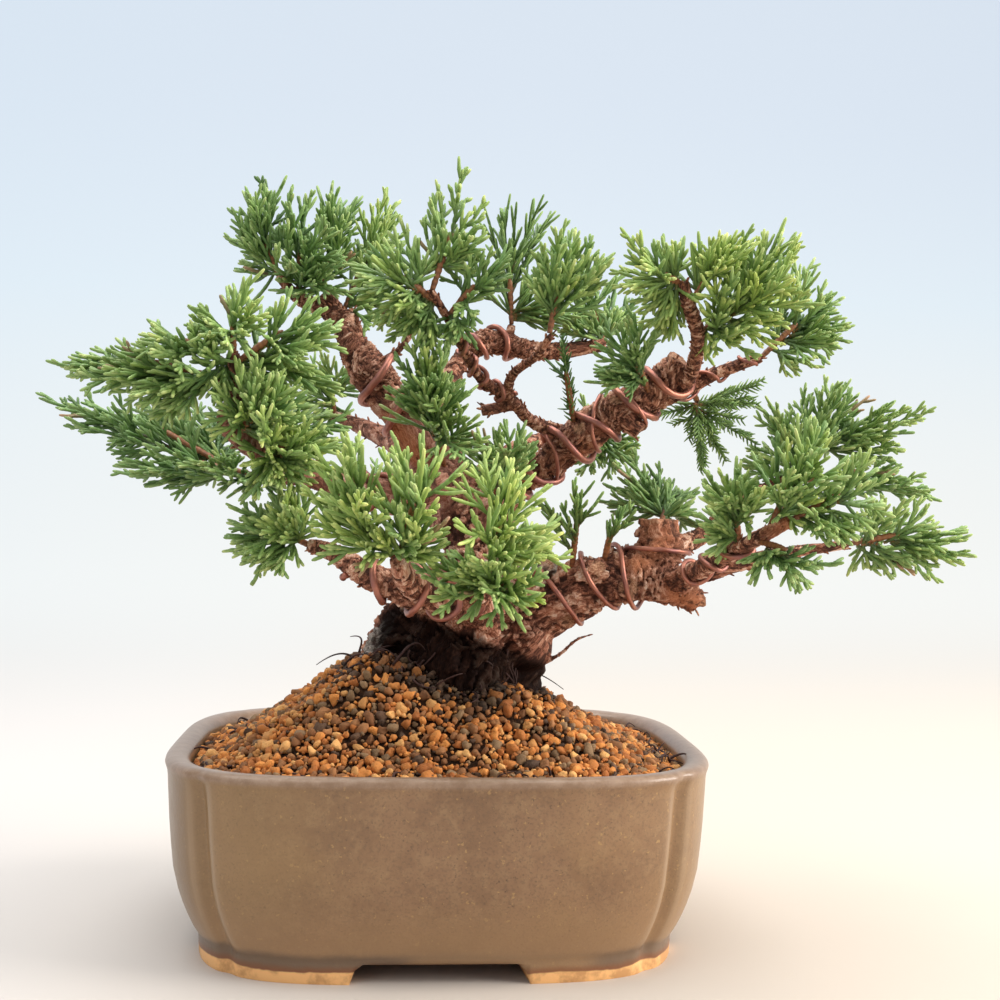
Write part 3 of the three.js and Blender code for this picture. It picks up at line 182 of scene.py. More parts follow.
# Leafy shoots: (from, to, tint, sprays); a spray is [place along the stem, x, y, z of the tip, reach].
SHOOTS = {
    "top_left_outer": ([-45, 11, 174], [-49, 10, 183], 0.35, [[0.1, -55, 14, 173, 9], [0.3, -58, 8, 189, 8],
        [0.6, -56, 18, 184, 7], [1, -53, 6, 197, 8], [1, -47, 13, 201, 9]]),
    "top_left_inner": ([-39, 13, 168], [-39, 7, 180], 0.34, [[0.3, -48, -3, 177, 8], [0.6, -43, 3, 198, 9],
        [1, -37, 9, 197, 9], [0.8, -30, -10, 186, 8], [0.4, -29, 2, 171, 8]]),
    "top_left_crown": ([-33, 10, 170], [-30, 14, 182], 0.39, [[0.3, -40, 25, 189, 9],
        [0.6, -32, 16, 200, 9], [1, -26, 22, 198, 9], [1, -27, 6, 190, 8], [0.3, -25, 8, 178, 8],
        [0.1, -42, 6, 168, 8]]),
    "top_right_crown": ([-27, 12, 165], [-21, 16, 179], 0.52, [[0.15, -17, 3, 158, 7],
        [0.3, -26, 26, 187, 8], [0.5, -14, 9, 184, 9], [0.3, -16, 20, 172, 8], [0.2, -9, 18, 166, 7],
        [1, -17, 17, 197, 9], [1, -13, 25, 194, 8]]),
    "centre_spike": ([-4, -33, 165], [1, -32, 179], 0.5, [[0.4, -7, -26, 183, 7], [0.6, -4, -34, 188, 5.5],
        [1, 3, -32, 197, 5], [1, 9, -31, 186, 5.5], [0.7, 7, -43, 175, 8], [0.5, 1, -30, 171, 8]]),
    "centre_left": ([-2.5, -31, 162], [-12, -35, 167], 0.48, [[0.4, -11, -27, 180, 9],
        [0.6, -15, -39, 176, 8], [1, -24, -36, 168, 8], [1, -22, -29, 163, 7], [0.5, -12, -39, 158, 7],
        [0.3, -6, -22, 157, 7], [0.6, -18, -24, 157, 7], [0.3, -11, -28, 152, 7], [0.2, -5, -30, 150, 7],
        [0.4, -8, -26, 158, 7], [0.9, -2, -32, 172, 8], [0.1, -15, -20, 153, 7], [0.2, -19, -16, 157, 7]]),
    "centre_right": ([0, -28.5, 159], [7, -33, 166], 0.4, [[0.5, 7, -27, 178, 8], [1, 15, -35, 172, 8],
        [1, 14, -31, 167, 7], [0.7, 5, -37, 157, 6], [0.2, 0, -30, 146, 6], [0.3, 2, -34, 152, 6]]),
    "back_centre": ([21, 34, 165], [20, 34, 181], 0.5, [[0.2, 15, 39, 194, 7], [0.5, 18, 35, 198, 7],
        [1, 28, 32, 199, 7], [1, 33, 42, 199, 6], [0.6, 25, 44, 191, 7], [0.2, 12, 30, 174, 7],
        [0.2, 28, 30, 173, 7], [0.4, 32, 34, 181, 7], [0.1, 27, 36, 167, 7], [0.15, 33, 34, 165, 7],
        [0.2, 39, 38, 170, 7], [0.3, 30, 30, 170, 7], [0.3, 41, 30, 167, 7]]),
    "back_far": ([49, 36, 160], [45, 41, 171], 0.42, [[0.3, 39, 38, 167, 7], [0.3, 56, 42, 166, 7],
        [0.5, 38, 47, 177, 8], [1, 40, 41, 185, 7], [1, 52, 48, 182, 8], [0.6, 58, 56, 173, 8],
        [0.1, 45, 36, 165, 7], [0.1, 33, 34, 164, 7], [0.2, 36, 40, 170, 7], [0.15, 53, 38, 170, 7],
        [0.3, 60, 40, 174, 7]]),
    "front_centre": ([25, -34, 155], [27, -36, 165], 0.5, [[0.4, 20, -32, 171, 7], [0.5, 23, -42, 174, 8],
        [1, 27, -36, 182, 8], [1, 32, -29, 180, 8], [0.8, 36, -39, 175, 8], [0.5, 40, -43, 173, 7]]),
    "dark_sprig": ([35, -7, 133], [31, -16, 147], 0.2, [[0.1, 30, -18, 156, 2.5], [1, 27, -12, 150, 2.5]]),
    "right_top_left": ([58, -34, 168], [52, -38, 169], 0.6, [[0.4, 55, -34, 177, 8], [0.6, 46, -38, 176, 8],
        [1, 47, -50, 171, 8], [1, 42, -39, 175, 8], [0.7, 43, -35, 166, 8], [0.5, 49, -30, 160, 8],
        [0.7, 56, -26, 163, 7], [0.3, 57, -30, 152, 8], [0.1, 53, -26, 157, 7], [0.15, 56, -24, 154, 7],
        [0.3, 51, -28, 162, 7]]),
    "right_top_mid": ([60, -33, 163], [65, -35, 170], 0.66, [[0.4, 61, -27, 175, 8], [0.8, 65, -35, 178, 8],
        [1, 68, -45, 174, 9], [1, 75, -38, 180, 8]]),
    "right_top_right": ([63, -28, 156], [74, -33, 163], 0.66, [[0.4, 66, -49, 167, 9],
        [0.6, 78, -26, 178, 9], [1, 83, -34, 182, 9], [1, 87, -41, 179, 8], [0.8, 81, -50, 167, 9],
        [0.4, 69, -41, 151, 8], [0.7, 82, -36, 153, 8], [1, 88, -44, 164, 9], [0.8, 84, -18, 167, 9],
        [0.2, 67, -32, 153, 7], [0.3, 73, -30, 155, 7]]),
    "right_top_far": ([83.5, -12.5, 152.5], [94, -12, 161], 0.45, [[0.4, 90, -1, 172, 8],
        [0.9, 95, -9, 178, 9], [1, 104, -12, 171, 9], [1, 105, 2, 170, 8], [0.4, 92, -15, 148, 6],
        [0.6, 101, -20, 151, 7], [0.8, 109, -14, 162, 8], [0.8, 107, -7, 157, 8]]),
    "mid_right_sprig": ([54, -12, 142], [48, -24, 149], 0.32, [[0.7, 41, -21, 144, 7],
        [0.8, 42, -27, 154, 8], [1, 48, -30, 159, 8], [0.9, 39, -20, 160, 8], [0.5, 38, -20, 144, 7],
        [0.7, 41, -22, 148, 7], [0.5, 47, -18, 149, 7]]),
    "left_upper_tip": ([-49.7, -51.2, 139.5], [-69, -51, 142], 0.46, [[0.5, -73, -45, 145, 8],
        [0.8, -84, -48, 146, 8], [1, -93, -49, 143, 8], [1, -85, -56, 139, 8], [0.6, -71, -59, 136, 9],
        [0.4, -66, -55, 131, 8], [0.6, -77, -46, 137, 8], [0.4, -72, -44, 135, 8]]),
    "left_upper_mid": ([-50, -52, 143.5], [-62, -54, 148], 0.48, [[0.4, -57, -62, 150, 8],
        [0.7, -67, -57, 150, 8], [1, -72, -52, 150, 7], [0.9, -64, -68, 143, 9], [0.2, -56, -54, 139, 8],
        [0.1, -51, -54, 136, 8]]),
    "left_upper_top": ([-50, -52.5, 146.5], [-50, -55, 153], 0.54, [[0.3, -57, -42, 152, 8],
        [0.7, -60, -54, 154, 8], [1, -51, -55, 157, 8], [1, -44, -63, 155, 8], [0.8, -52, -72, 150, 8]]),
    "left_upper_right": ([-50, -52, 144], [-38, -51, 151], 0.5, [[0.4, -45, -41, 156, 9],
        [0.7, -37, -56, 158, 9], [1, -30, -50, 157, 9], [1, -25, -54, 152, 8], [0.8, -37, -60, 144, 8],
        [0.3, -37, -46, 145, 8], [0.5, -31, -50, 143, 8], [0.1, -42, -48, 138, 8], [0.2, -34, -44, 147, 8],
        [0.5, -24, -44, 137, 8]]),
    "left_mid": ([-51.5, -4.5, 118.5], [-80, 2, 130], 0.27, [[0.3, -73, 9, 124, 9], [0.7, -85, -8, 128, 9],
        [0.85, -100, 1, 132, 8], [1, -107, 4, 139, 8], [0.8, -98, 11, 140, 8], [0.25, -66, 22, 132, 9],
        [0.55, -85, 16, 139, 9], [0.4, -76, 24, 142, 9], [0.3, -60, 14, 138, 8]]),
    "left_mid_low": ([-46, -10.5, 118.5], [-66, -8, 120], 0.27, [[0.6, -69, -9, 115, 6],
        [0.8, -76, -1, 117, 7], [1, -87, -6, 121, 8], [1, -83, -12, 118, 7], [0.7, -74, -19, 127, 8],
        [0.3, -55, -24, 116, 8], [0.4, -62, -22, 123, 8], [0.1, -49, -22, 116, 7], [0.2, -44, -20, 117, 7],
        [0.1, -37, -18, 118, 7]]),
    "left_front_up": ([-49.5, -46.5, 128], [-43, -57, 133], 0.52, [[0.5, -48, -59, 143, 9],
        [0.8, -44, -61, 142, 8], [1, -38, -60, 138, 9], [1, -34, -64, 131, 9], [0.7, -55, -62, 133, 8],
        [0.2, -42, -46, 130, 8], [0.3, -35, -52, 132, 8], [0.4, -30, -56, 123, 8], [0.2, -23, -42, 134, 8],
        [0.3, -20, -49, 125, 8]]),
    "left_front_low": ([-44, -41, 124], [-38, -56, 123], 0.58, [[0.5, -46, -53, 117, 8],
        [0.7, -37, -60, 115, 9], [1, -30, -60, 127, 9], [1, -26, -58, 120, 8], [0.8, -42, -69, 129, 8],
        [0.2, -39, -50, 116, 8], [0.3, -32, -54, 115, 8], [0.6, -26, -52, 127, 8]]),
    "trunk_back": ([-31, 64.5, 139], [-32, 60, 147], 0.4, [[0.5, -41, 53, 141, 9], [0.6, -40, 59, 152, 9],
        [1, -29, 52, 154, 9], [1, -19, 59, 144, 9], [0.6, -28, 72, 137, 9]]),
    "low_left": ([-32, -53, 102.5], [-39, -51, 105], 0.5, [[0.6, -44, -43, 113, 7], [0.8, -50, -47, 112, 7],
        [1, -52, -46, 104, 7], [1, -49, -53, 100, 7], [0.8, -46, -51, 94, 6], [0.5, -40, -59, 97, 6],
        [0.5, -37, -50, 113, 8], [0.7, -40, -63, 109, 8], [0.4, -31, -66, 111, 8]]),
    "front_left": ([-10.8, -71, 98.5], [-20, -80, 109], 0.62, [[0.5, -28, -78, 104, 9],
        [0.7, -33, -76, 112, 9], [1, -27, -76, 122, 10], [1, -22, -79, 127, 9], [0.8, -22, -93, 113, 9],
        [0.4, -20, -86, 101, 8], [0.3, -13, -88, 104, 8]]),
    "front_mid": ([-11.5, -75.5, 100], [-8, -86, 112], 0.64, [[0.3, -11, -94, 109, 9],
        [0.6, -15, -79, 124, 9], [1, -11, -84, 126, 9], [1, -2, -84, 124, 9], [0.8, -5, -96, 115, 9],
        [0.1, -11, -82, 104, 8], [0.1, -5, -80, 102, 8], [0.3, -3, -84, 107, 8]]),
    "front_right": ([9, -71, 99], [10, -79, 109], 0.66, [[0.4, 20, -76, 104, 9], [0.5, 3, -91, 109, 9],
        [1, 6, -77, 122, 9], [1, 15, -75, 120, 9], [0.8, 16, -82, 107, 8], [0.2, 18, -62, 104, 8],
        [0.3, 23, -60, 106, 8], [0.1, 23, -52, 102, 8], [0.1, 27, -48, 101, 8]]),
    "front_low": ([8.7, -63, 96.5], [12, -73, 93], 0.5, [[0.5, -1, -84, 99, 8], [0.7, 5, -91, 102, 8],
        [1, 14, -77, 88, 7], [1, 19, -80, 98, 8], [0.6, -4, -82, 91, 8], [0.4, -8, -78, 98, 8],
        [0.8, 8, -88, 93, 8]]),
    "trunk_front": ([1, 1, 122], [-4, -30, 133], 0.42, [[0.6, 6, -37, 133, 9], [0.8, -12, -33, 141, 9],
        [1, -4, -34, 147, 9], [1, 2, -40, 141, 9], [0.8, 6, -47, 124, 9], [1, -6, -33, 155, 8],
        [0.9, -12, -32, 150, 8], [1, -1, -35, 152, 7]]),
    "trunk_side": ([14, -2, 112], [14, -25, 119], 0.35, [[0.6, 19, -26, 126, 8], [0.8, 12, -27, 132, 9],
        [1, 20, -36, 128, 8], [1, 7, -41, 128, 9]]),
    "e_sprig": ([34, -12, 93], [34, -25, 109], 0.45, [[0.5, 25, -28, 114, 5], [0.7, 29, -26, 110, 5],
        [1, 32, -29, 119, 5], [1, 38, -33, 114, 5]]),
    "e_sprig_b": ([42, -15, 97], [43, -21, 105], 0.42, [[0.8, 42, -21, 109, 4], [1, 48, -30, 112, 5],
        [1, 47, -20, 113, 5]]),
    "hanging_sprig": ([66, -6, 145], [71, 7, 139], 0.46, [[0.7, 55, 12, 142, 7], [1, 69, 9, 131, 6],
        [1, 72, 7, 122, 7], [1, 84, 8, 137, 7], [0.8, 89, 5, 148, 8], [0.9, 88, 8, 130, 7],
        [1, 79, 7, 125, 7]]),
    "back_low": ([44.5, 57, 137], [53, 52, 133], 0.4, [[0.4, 51, 62, 142, 8], [1, 49, 46, 125, 8],
        [0.8, 44, 47, 120, 8], [1, 63, 47, 133, 8], [0.7, 55, 40, 120, 8]]),
    "stub_sprig": ([58, -10, 109], [63, 3, 113], 0.35, [[0.6, 55, 8, 117, 7], [1, 60, 12, 123, 7],
        [1, 69, 5, 117, 7], [1, 70, 9, 106, 7], [0.5, 48, 4, 121, 7], [0.3, 43, 0, 115, 7],
        [0.7, 51, 8, 128, 7], [0.3, 67, -2, 113, 7], [0.1, 63, -4, 115, 7]]),
    "right_mid_up": ([95, 5, 121], [109, 2, 133], 0.45, [[0.2, 92, 7, 142, 8], [0.5, 101, 13, 146, 8],
        [0.8, 107, 4, 148, 8], [0.8, 115, 7, 147, 8], [0.6, 117, 17, 135, 8], [0.4, 104, -10, 134, 8],
        [0.9, 124, -1, 143, 8], [1, 134, -4, 139, 8], [1, 125, -9, 134, 7], [0.8, 125, -5, 126, 8],
        [0.1, 84, 8, 124, 8], [0.2, 89, 12, 132, 8], [0.3, 90, 10, 142, 8]]),
    "right_mid_low": ([89, 3.5, 118], [113, -6, 120], 0.38, [[0.5, 110, 2, 115, 8], [0.8, 120, -15, 125, 7],
        [1, 132, -14, 116, 7], [1, 131, -6, 121, 7], [0.2, 91, -6, 108, 7], [0.3, 99, 0, 113, 7]]),
    "right_front_in": ([69, -53.5, 103.5], [66, -59, 112], 0.46, [[0.4, 59, -57, 110, 7],
        [0.4, 62, -50, 102, 7], [0.6, 60, -57, 121, 7], [1, 67, -65, 121, 8], [1, 60, -73, 116, 8],
        [0.8, 69, -75, 115, 8], [0.2, 61, -50, 113, 7]]),
    "right_front_up": ([74, -59.3, 107.2], [78, -68, 119], 0.5, [[0.5, 71, -82, 119, 8],
        [0.6, 73, -66, 128, 8], [1, 86, -69, 134, 9], [1, 79, -78, 128, 8], [0.8, 83, -82, 121, 8],
        [0.3, 87, -66, 111, 8]]),
    "right_front_tip": ([78, -64, 110], [88, -71, 115], 0.48, [[0.4, 82, -80, 108, 8],
        [0.7, 93, -67, 126, 8], [1, 99, -72, 121, 7], [1, 99, -70, 113, 8], [0.8, 89, -73, 104, 7],
        [0.5, 92, -70, 107, 8]]),
    "right_front_low": ([71.5, -56.5, 105.3], [76, -67, 102], 0.38, [[0.5, 68, -67, 98, 6],
        [1, 79, -68, 96, 7], [1, 90, -63, 99, 7], [0.7, 84, -70, 97, 7]]),
    "far_right": ([103, -27.5, 104], [116, -29, 105], 0.5, [[0.3, 108, -38, 115, 7],
        [0.8, 124, -31, 114, 7], [1, 132, -32, 108, 7], [1, 136, -32, 101, 7], [0.9, 125, -35, 96, 7],
        [0.3, 111, -22, 96, 6], [0.6, 119, -25, 96, 7], [0.5, 121, -9, 107, 7]]),
    "back_mid_left": ([-14, 60, 113], [-22, 70, 117], 0.4, [[0.4, -30, 62, 122, 9], [0.7, -34, 72, 116, 9],
        [1, -24, 84, 119, 9], [1, -12, 78, 124, 9], [0.6, -20, 74, 106, 8]]),
    "back_mid_right": ([-5, 46, 110.8], [4, 60, 113], 0.4, [[0.4, 12, 58, 121, 9], [0.7, 16, 66, 112, 9],
        [1, 8, 76, 115, 9], [1, -2, 70, 121, 9], [0.5, 4, 62, 104, 8]]),
}
FEATHERY = ("hanging_sprig", "dark_sprig")
SPARSE = ("e_sprig", "e_sprig_b", "back_centre")
FLAT = (
    "left_upper_tip", "left_mid", "left_mid_low", "low_left", "right_mid_up", "right_mid_low", "far_right",
    "right_top_far", "mid_right_sprig", "right_front_tip", "stub_sprig",
)

# Strips of the wood, [x, y, z of one end, x, y, z of the other, radius]: bleached dead wood, sawn ends, a
# hollow darkened with painted shade and orange inner bark.
DEAD_WOOD = [
    [-26, -6, 58, -23, -8, 72, 7.5], [-23, -8, 72, -16, -10, 84, 6.5], [22, -18, 95, 30, -18, 98, 4.5],
    [-20, 6, 60, -15, 6, 80, 6],
]
SAWN_ENDS = [
    [57, -12.5, 110, 57, -12.5, 113, 5.5], [62, -12.5, 153, 64, -13, 156, 4.2],
    [53, -11, 131, 54, -12, 129, 3], [68, -17, 87.5, 71, -17, 86, 3],
]
HOLLOWS = [[19, -17.5, 88, 22, -18, 92, 3.4]]
INNER_BARK = [
    [50, -20, 98, 60, -20, 106, 4.5], [60, -20, 90, 70, -20, 86, 5], [12, 0, 112, 22, -4, 120, 4],
    [37, -8, 128, 42, -9, 134, 3], [57, -13, 100, 57, -13, 110, 7.5], [-14, 2, 134, -6, 2, 124, 5],
    [62, -30, 96, 78, -64, 110, 4],
]

# Cut twigs and burls: [x, y, z, direction, radius, length] of stubs that stand out of the bark.
KNOBS = [
    [39.5, -15, 95.5, 0.1, -1, 0.25, 2.9, 4.8], [32, -12, 84, 0.3, -0.8, -0.3, 2.8, 3.6],
    [47, -17, 92, 0.3, -1, -0.1, 3.6, 3.8], [27, -12, 95, 0.1, -0.8, 0.6, 2.6, 3.8],
    [13, -14, 88, 0, -1, 0.1, 3.2, 4.5], [-4, -14, 86, -0.3, -1, 0.1, 3, 4],
    [61, -17, 90, 0.6, -0.6, -0.6, 1.7, 3.6], [66, -17, 88, 0.9, -0.3, 0.1, 1.4, 3],
    [64, -16, 89, 0.3, -0.3, -0.9, 1.4, 3.4], [2, -5, 92, -0.8, -0.6, 0.3, 3, 6],
    [-13, 2, 139, 0.7, -0.7, 0.1, 1.8, 4.4], [-20, 6, 148, -0.7, -0.7, 0.1, 1.7, 4.6],
    [-22, 8, 152, 0.8, -0.5, 0.2, 1.6, 4.4], [37, -7, 131, -0.3, -0.9, 0.4, 2.2, 4.6],
    [45, -9, 138, 0, -0.8, 0.6, 2.2, 4.2], [52, -10, 143, 0.2, -0.9, -0.4, 2, 4.2],
    [28, -3, 124, 0.1, -1, -0.2, 1.5, 3.8], [20, -9, 137.5, -0.2, -0.8, 0.5, 0.9, 2.6],
    [31, -7, 132.5, 0.2, -0.9, -0.3, 1.2, 3], [8, -33, 90, 0.3, -0.9, 0.4, 2.4, 6],
    [-3, -48, 92.5, 0.1, -0.9, 0.3, 1.8, 5], [13, 34, 160, 0.1, -0.9, 0.3, 1.6, 4],
    [24, 35, 158.5, 0.3, -0.9, 0.5, 1.3, 3.4], [36, 36, 158.5, 0.2, -0.9, -0.4, 1.2, 3.2],
    [44, 36, 159.5, 0.5, -0.8, 0.5, 1, 2.8],
]


def in_row(points):
    """Millimetres in the pot's frame, as metres in the row's frame."""
    return (np.asarray(points, float) - BOX_CENTRE) * MM


def unit(v):
    """Vectors of length 1."""
    return v / np.maximum(np.linalg.norm(v, axis=-1, keepdims=True), 1e-12)


def rise(value, start, end):
    """0 at start and 1 at end, straight between."""
    return np.clip((value - start) / (end - start), 0, 1)


def swung(first, second, angle):
    """A direction turned from the first towards the second."""
    return first * math.cos(angle) + second * math.sin(angle)


def circle(sides):
    """Angles of evenly spaced points on a circle."""
    return np.arange(sides) * 2 * math.pi / sides


# ---------------------------------------------------------------- curves


def curve_through(points, samples=600):
    """A centripetal curve through the points: places, the point number at each, and the length so far."""
    p = np.asarray(points, float)
    q = np.vstack([2 * p[0] - p[1], p, 2 * p[-1] - p[-2]])
    t = np.linspace(0, len(p) - 1, samples)
    k = np.minimum(t.astype(int), len(p) - 2)
    w = (t - k)[:, None]
    p0, p1, p2, p3 = q[k], q[k + 1], q[k + 2], q[k + 3]
    d0, d1, d2 = (np.sqrt(np.linalg.norm(b - a, axis=1))[:, None] for a, b in ((p0, p1), (p1, p2), (p2, p3)))
    t1 = ((p1 - p0) / d0 - (p2 - p0) / (d0 + d1) + (p2 - p1) / d1) * d1
    t2 = ((p2 - p1) / d1 - (p3 - p1) / (d1 + d2) + (p3 - p2) / d2) * d1
    places = p1 + t1 * w + (3 * (p2 - p1) - 2 * t1 - t2) * w**2 + (2 * (p1 - p2) + t1 + t2) * w**3
    length = np.concatenate([[0], np.cumsum(np.linalg.norm(np.diff(places, axis=0), axis=1))])
    return places, t, length


def carried_frames(tangents):
    """Two directions across a path, carried along it without twisting."""
    first = np.zeros(3)
    first[int(np.argmin(np.abs(tangents[0])))] = 1
    across = unit(np.cross(tangents[0], first))
    normal = np.cross(tangents[0], across)
    normals = [normal]
    for a, b in zip(tangents[:-1], tangents[1:]):
        axis = np.cross(a, b)
        size = np.linalg.norm(axis)
        if size > 1e-9:
            axis /= size
            angle = math.atan2(size, float(np.dot(a, b)))
            normal = (normal * math.cos(angle) + np.cross(axis, normal) * math.sin(angle)
                      + axis * np.dot(axis, normal) * (1 - math.cos(angle)))
        normals.append(normal)
    normals = np.array(normals)
    return normals, np.cross(tangents, normals)


def limb_rings(name, spacing):
    """Centres, radii, tangents and the two cross directions of evenly spaced rings along a limb."""
    table = np.array(LIMBS[name], float)
    places, t, length = curve_through(table[:, :3])
    count = max(4, int(round(length[-1] / spacing)))
    at = np.linspace(0, length[-1], count + 1)
    centres = np.stack([np.interp(at, length, places[:, k]) for k in range(3)], 1)
    radii = np.interp(np.interp(at, length, t), np.arange(len(table)), table[:, 3])
    radii = radii * THINNER.get(name, 1.0)
    tangents = unit(np.gradient(centres, axis=0))
    normals, binormals = carried_frames(tangents)
    return centres, radii, tangents, normals, binormals


def bark_relief(u, angle, radius):
    """Flutes and knots along a limb, as part of its radius."""
    flutes = 0.05 * np.sin(3 * angle + 9 * u)
    knots = 0.05 * np.sin(2 * angle - 31 * u) * np.minimum(1, radius / 4)
    return 1 + flutes + knots


# ---------------------------------------------------------------- meshes


def ring_faces(rings, sides):
    """Quads between rings of points, all the way round."""
    ring, side = np.meshgrid(np.arange(rings - 1), np.arange(sides), indexing="ij")
    a = ring * sides + side
    b = ring * sides + (side + 1) % sides
    return np.stack([a, b, b + sides, a + sides], -1).reshape(-1, 4)


def end_fans(sides, rings):
    """Triangles that close the first and the last ring, round two points that follow the rings."""
    side = np.arange(sides)
    after = (side + 1) % sides
    last = (rings - 1) * sides
    return np.vstack([
        np.stack([np.full(sides, rings * sides), after, side], 1),
        np.stack([np.full(sides, rings * sides + 1), last + side, last + after], 1),
    ])


def tube(centres, radii, normals, binormals, sides, relief=None):
    """Points and faces of a closed tube."""
    angles = circle(sides)
    size = np.repeat(np.asarray(radii, float)[:, None], sides, 1)
    if relief:
        size = size * relief(np.linspace(0, 1, len(centres))[:, None], angles[None, :], size)
    cos, sin = np.cos(angles)[None, :, None], np.sin(angles)[None, :, None]
    out = normals[:, None] * cos + binormals[:, None] * sin
    points = (centres[:, None] + out * size[..., None]).reshape(-1, 3)
    points = np.vstack([points, centres[0], centres[-1]])
    return points, ring_faces(len(centres), sides), end_fans(sides, len(centres))


def gather(pieces):
    """Joins lists of (points, quads, triangles) into one."""
    points, quads, triangles = [], [], []
    start = 0
    for p, q, t in pieces:
        points.append(p)
        quads.append(np.asarray(q, int).reshape(-1, 4) + start)
        triangles.append(np.asarray(t, int).reshape(-1, 3) + start)
        start += len(p)
    return np.vstack(points), np.vstack(quads), np.vstack(triangles)


def fill_mesh(mesh, points, quads, triangles):
    """Writes points and faces into an empty mesh."""
    loops = np.concatenate([quads.ravel(), triangles.ravel()]).astype(np.int32)
    sizes = np.concatenate([np.full(len(quads), 4), np.full(len(triangles), 3)]).astype(np.int32)
    starts = np.concatenate([[0], np.cumsum(sizes)[:-1]]).astype(np.int32)
    mesh.vertices.add(len(points))
    mesh.vertices.foreach_set("co", np.ascontiguousarray(points, np.float32).ravel())
    mesh.loops.add(len(loops))
    mesh.loops.foreach_set("vertex_index", loops)
    mesh.polygons.add(len(sizes))
    mesh.polygons.foreach_set("loop_start", starts)
    mesh.polygons.foreach_set("use_smooth", np.ones(len(sizes), bool))
    mesh.update(calc_edges=True)
    mesh.validate()


def add_object(name, data):
    """A new object in the scene."""
    added = bpy.data.objects.new(name, data)
    bpy.context.scene.collection.objects.link(added)
    return added


def new_object(name, points, quads, triangles):
    """A new piece from points and faces."""
    mesh = bpy.data.meshes.new(name)
    fill_mesh(mesh, points, quads, triangles)
    return add_object(name, mesh)


def add_piece(name, shape, material, nodes=()):
    """A finished piece from points in the pot's frame, quads and triangles."""
    points, quads, triangles = shape
    piece = new_object(name, in_row(points), quads, triangles)
    dress(piece, material, nodes)
    return piece


def dress(piece, material, nodes=()):
    """Gives a piece its material and its body, and hides the nodes that it stands for."""
    piece.data.materials.clear()
    piece.data.materials.append(material)
    if nodes:
        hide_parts(*nodes)
    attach(piece, "root")


def store(piece, name, values):
    """Keeps a number, or a direction, for each point of a piece."""
    values = np.ascontiguousarray(values, np.float32)
    kind, field = ("FLOAT", "value") if values.ndim == 1 else ("FLOAT_VECTOR", "vector")
    attribute = piece.data.attributes.new(name, kind, "POINT")
    attribute.data.foreach_set(field, values.ravel())


def vectors_of(rows, field):
    """A vector from each row of a mesh's data."""
    values = np.empty(len(rows) * 3, np.float32)
    rows.foreach_get(field, values)
    return values.reshape(-1, 3).astype(float)


# ---------------------------------------------------------------- materials


class Finish:
    """A node material under construction."""

    def __init__(self, name, **sockets):
        self.material = bpy.data.materials.new(name)
        self.material.use_nodes = True
        self.tree = self.material.node_tree
        self.shader = self.tree.nodes["Principled BSDF"]
        for socket, value in sockets.items():
            self.shader.inputs[socket.replace("_", " ")].default_value = value

    def node(self, kind, **settings):
        """A new shader node."""
        made = self.tree.nodes.new("ShaderNode" + kind)
        for name, value in settings.items():
            setattr(made, name, value)
        return made

    def link(self, source, target):
        self.tree.links.new(source, target)

    def put(self, target, value):
        """Links a socket, or sets it to a number or a colour."""
        if isinstance(value, bpy.types.NodeSocket):
            self.link(value, target)
        else:
            target.default_value = value

    def place(self):
        """The place on the piece, in metres."""
        return self.node("TexCoord").outputs["Object"]

    def attribute(self, name, output="Fac"):
        """A value that store kept with the piece."""
        return self.node("Attribute", attribute_name=name).outputs[output]

    def noise(self, where, scale, detail=3.0, roughness=0.5, output="Fac"):
        made = self.node("TexNoise")
        self.link(where, made.inputs["Vector"])
        made.inputs["Scale"].default_value = scale
        made.inputs["Detail"].default_value = detail
        made.inputs["Roughness"].default_value = roughness
        return made.outputs[output]

    def ramp(self, value, stops):
        """Colours at their places from 0 to 1."""
        made = self.node("ValToRGB")
        ramp = made.color_ramp
        while len(ramp.elements) < len(stops):
            ramp.elements.new(0.5)
        for element, (position, colour) in zip(ramp.elements, stops):
            element.position = position
            element.color = (*colour, 1)
        self.link(value, made.inputs["Fac"])
        return made.outputs["Color"]

    def grey(self, value, low, high):
        """0 below low and 1 above high."""
        made = self.node("MapRange", interpolation_type="SMOOTHSTEP")
        self.put(made.inputs["Value"], value)
        made.inputs["From Min"].default_value = low
        made.inputs["From Max"].default_value = high
        return made.outputs["Result"]

    def below(self, value, low, high):
        """1 below low and 0 above high."""
        return self.math("SUBTRACT", 1.0, self.grey(value, low, high))

    def mix(self, factor, a, b, blend="MIX"):
        """Two colours mixed by a factor."""
        made = self.node("Mix", data_type="RGBA", blend_type=blend)
        self.put(made.inputs["Factor"], factor)
        for socket, value in zip((made.inputs[6], made.inputs[7]), (a, b)):
            self.put(socket, value if isinstance(value, bpy.types.NodeSocket) else (*value, 1))
        return made.outputs[2]

    def layer(self, base, colour, where, strength):
        """A colour laid over the base."""
        return self.mix(self.times(where, strength), base, colour)

    def math(self, operation, a, b=0.0):
        made = self.node("Math", operation=operation)
        self.put(made.inputs[0], a)
        self.put(made.inputs[1], b)
        return made.outputs[0]

    def times(self, a, b):
        return self.math("MULTIPLY", a, b)

    def plus(self, a, b):
        return self.math("ADD", a, b)

    def about_zero(self, value, reach):
        """A noise, shifted so that it swings about 0."""
        return self.times(self.math("SUBTRACT", value, 0.5), reach)

    def separate(self, vector):
        made = self.node("SeparateXYZ")
        self.link(vector, made.inputs[0])
        return made.outputs

    def bump(self, height, strength, distance):
        made = self.node("Bump")
        made.inputs["Strength"].default_value = strength
        made.inputs["Distance"].default_value = distance
        self.link(height, made.inputs["Height"])
        self.link(made.outputs["Normal"], self.shader.inputs["Normal"])

    def colour(self, value):
        self.link(value, self.shader.inputs["Base Color"])

    def rough(self, value):
        self.link(value, self.shader.inputs["Roughness"])


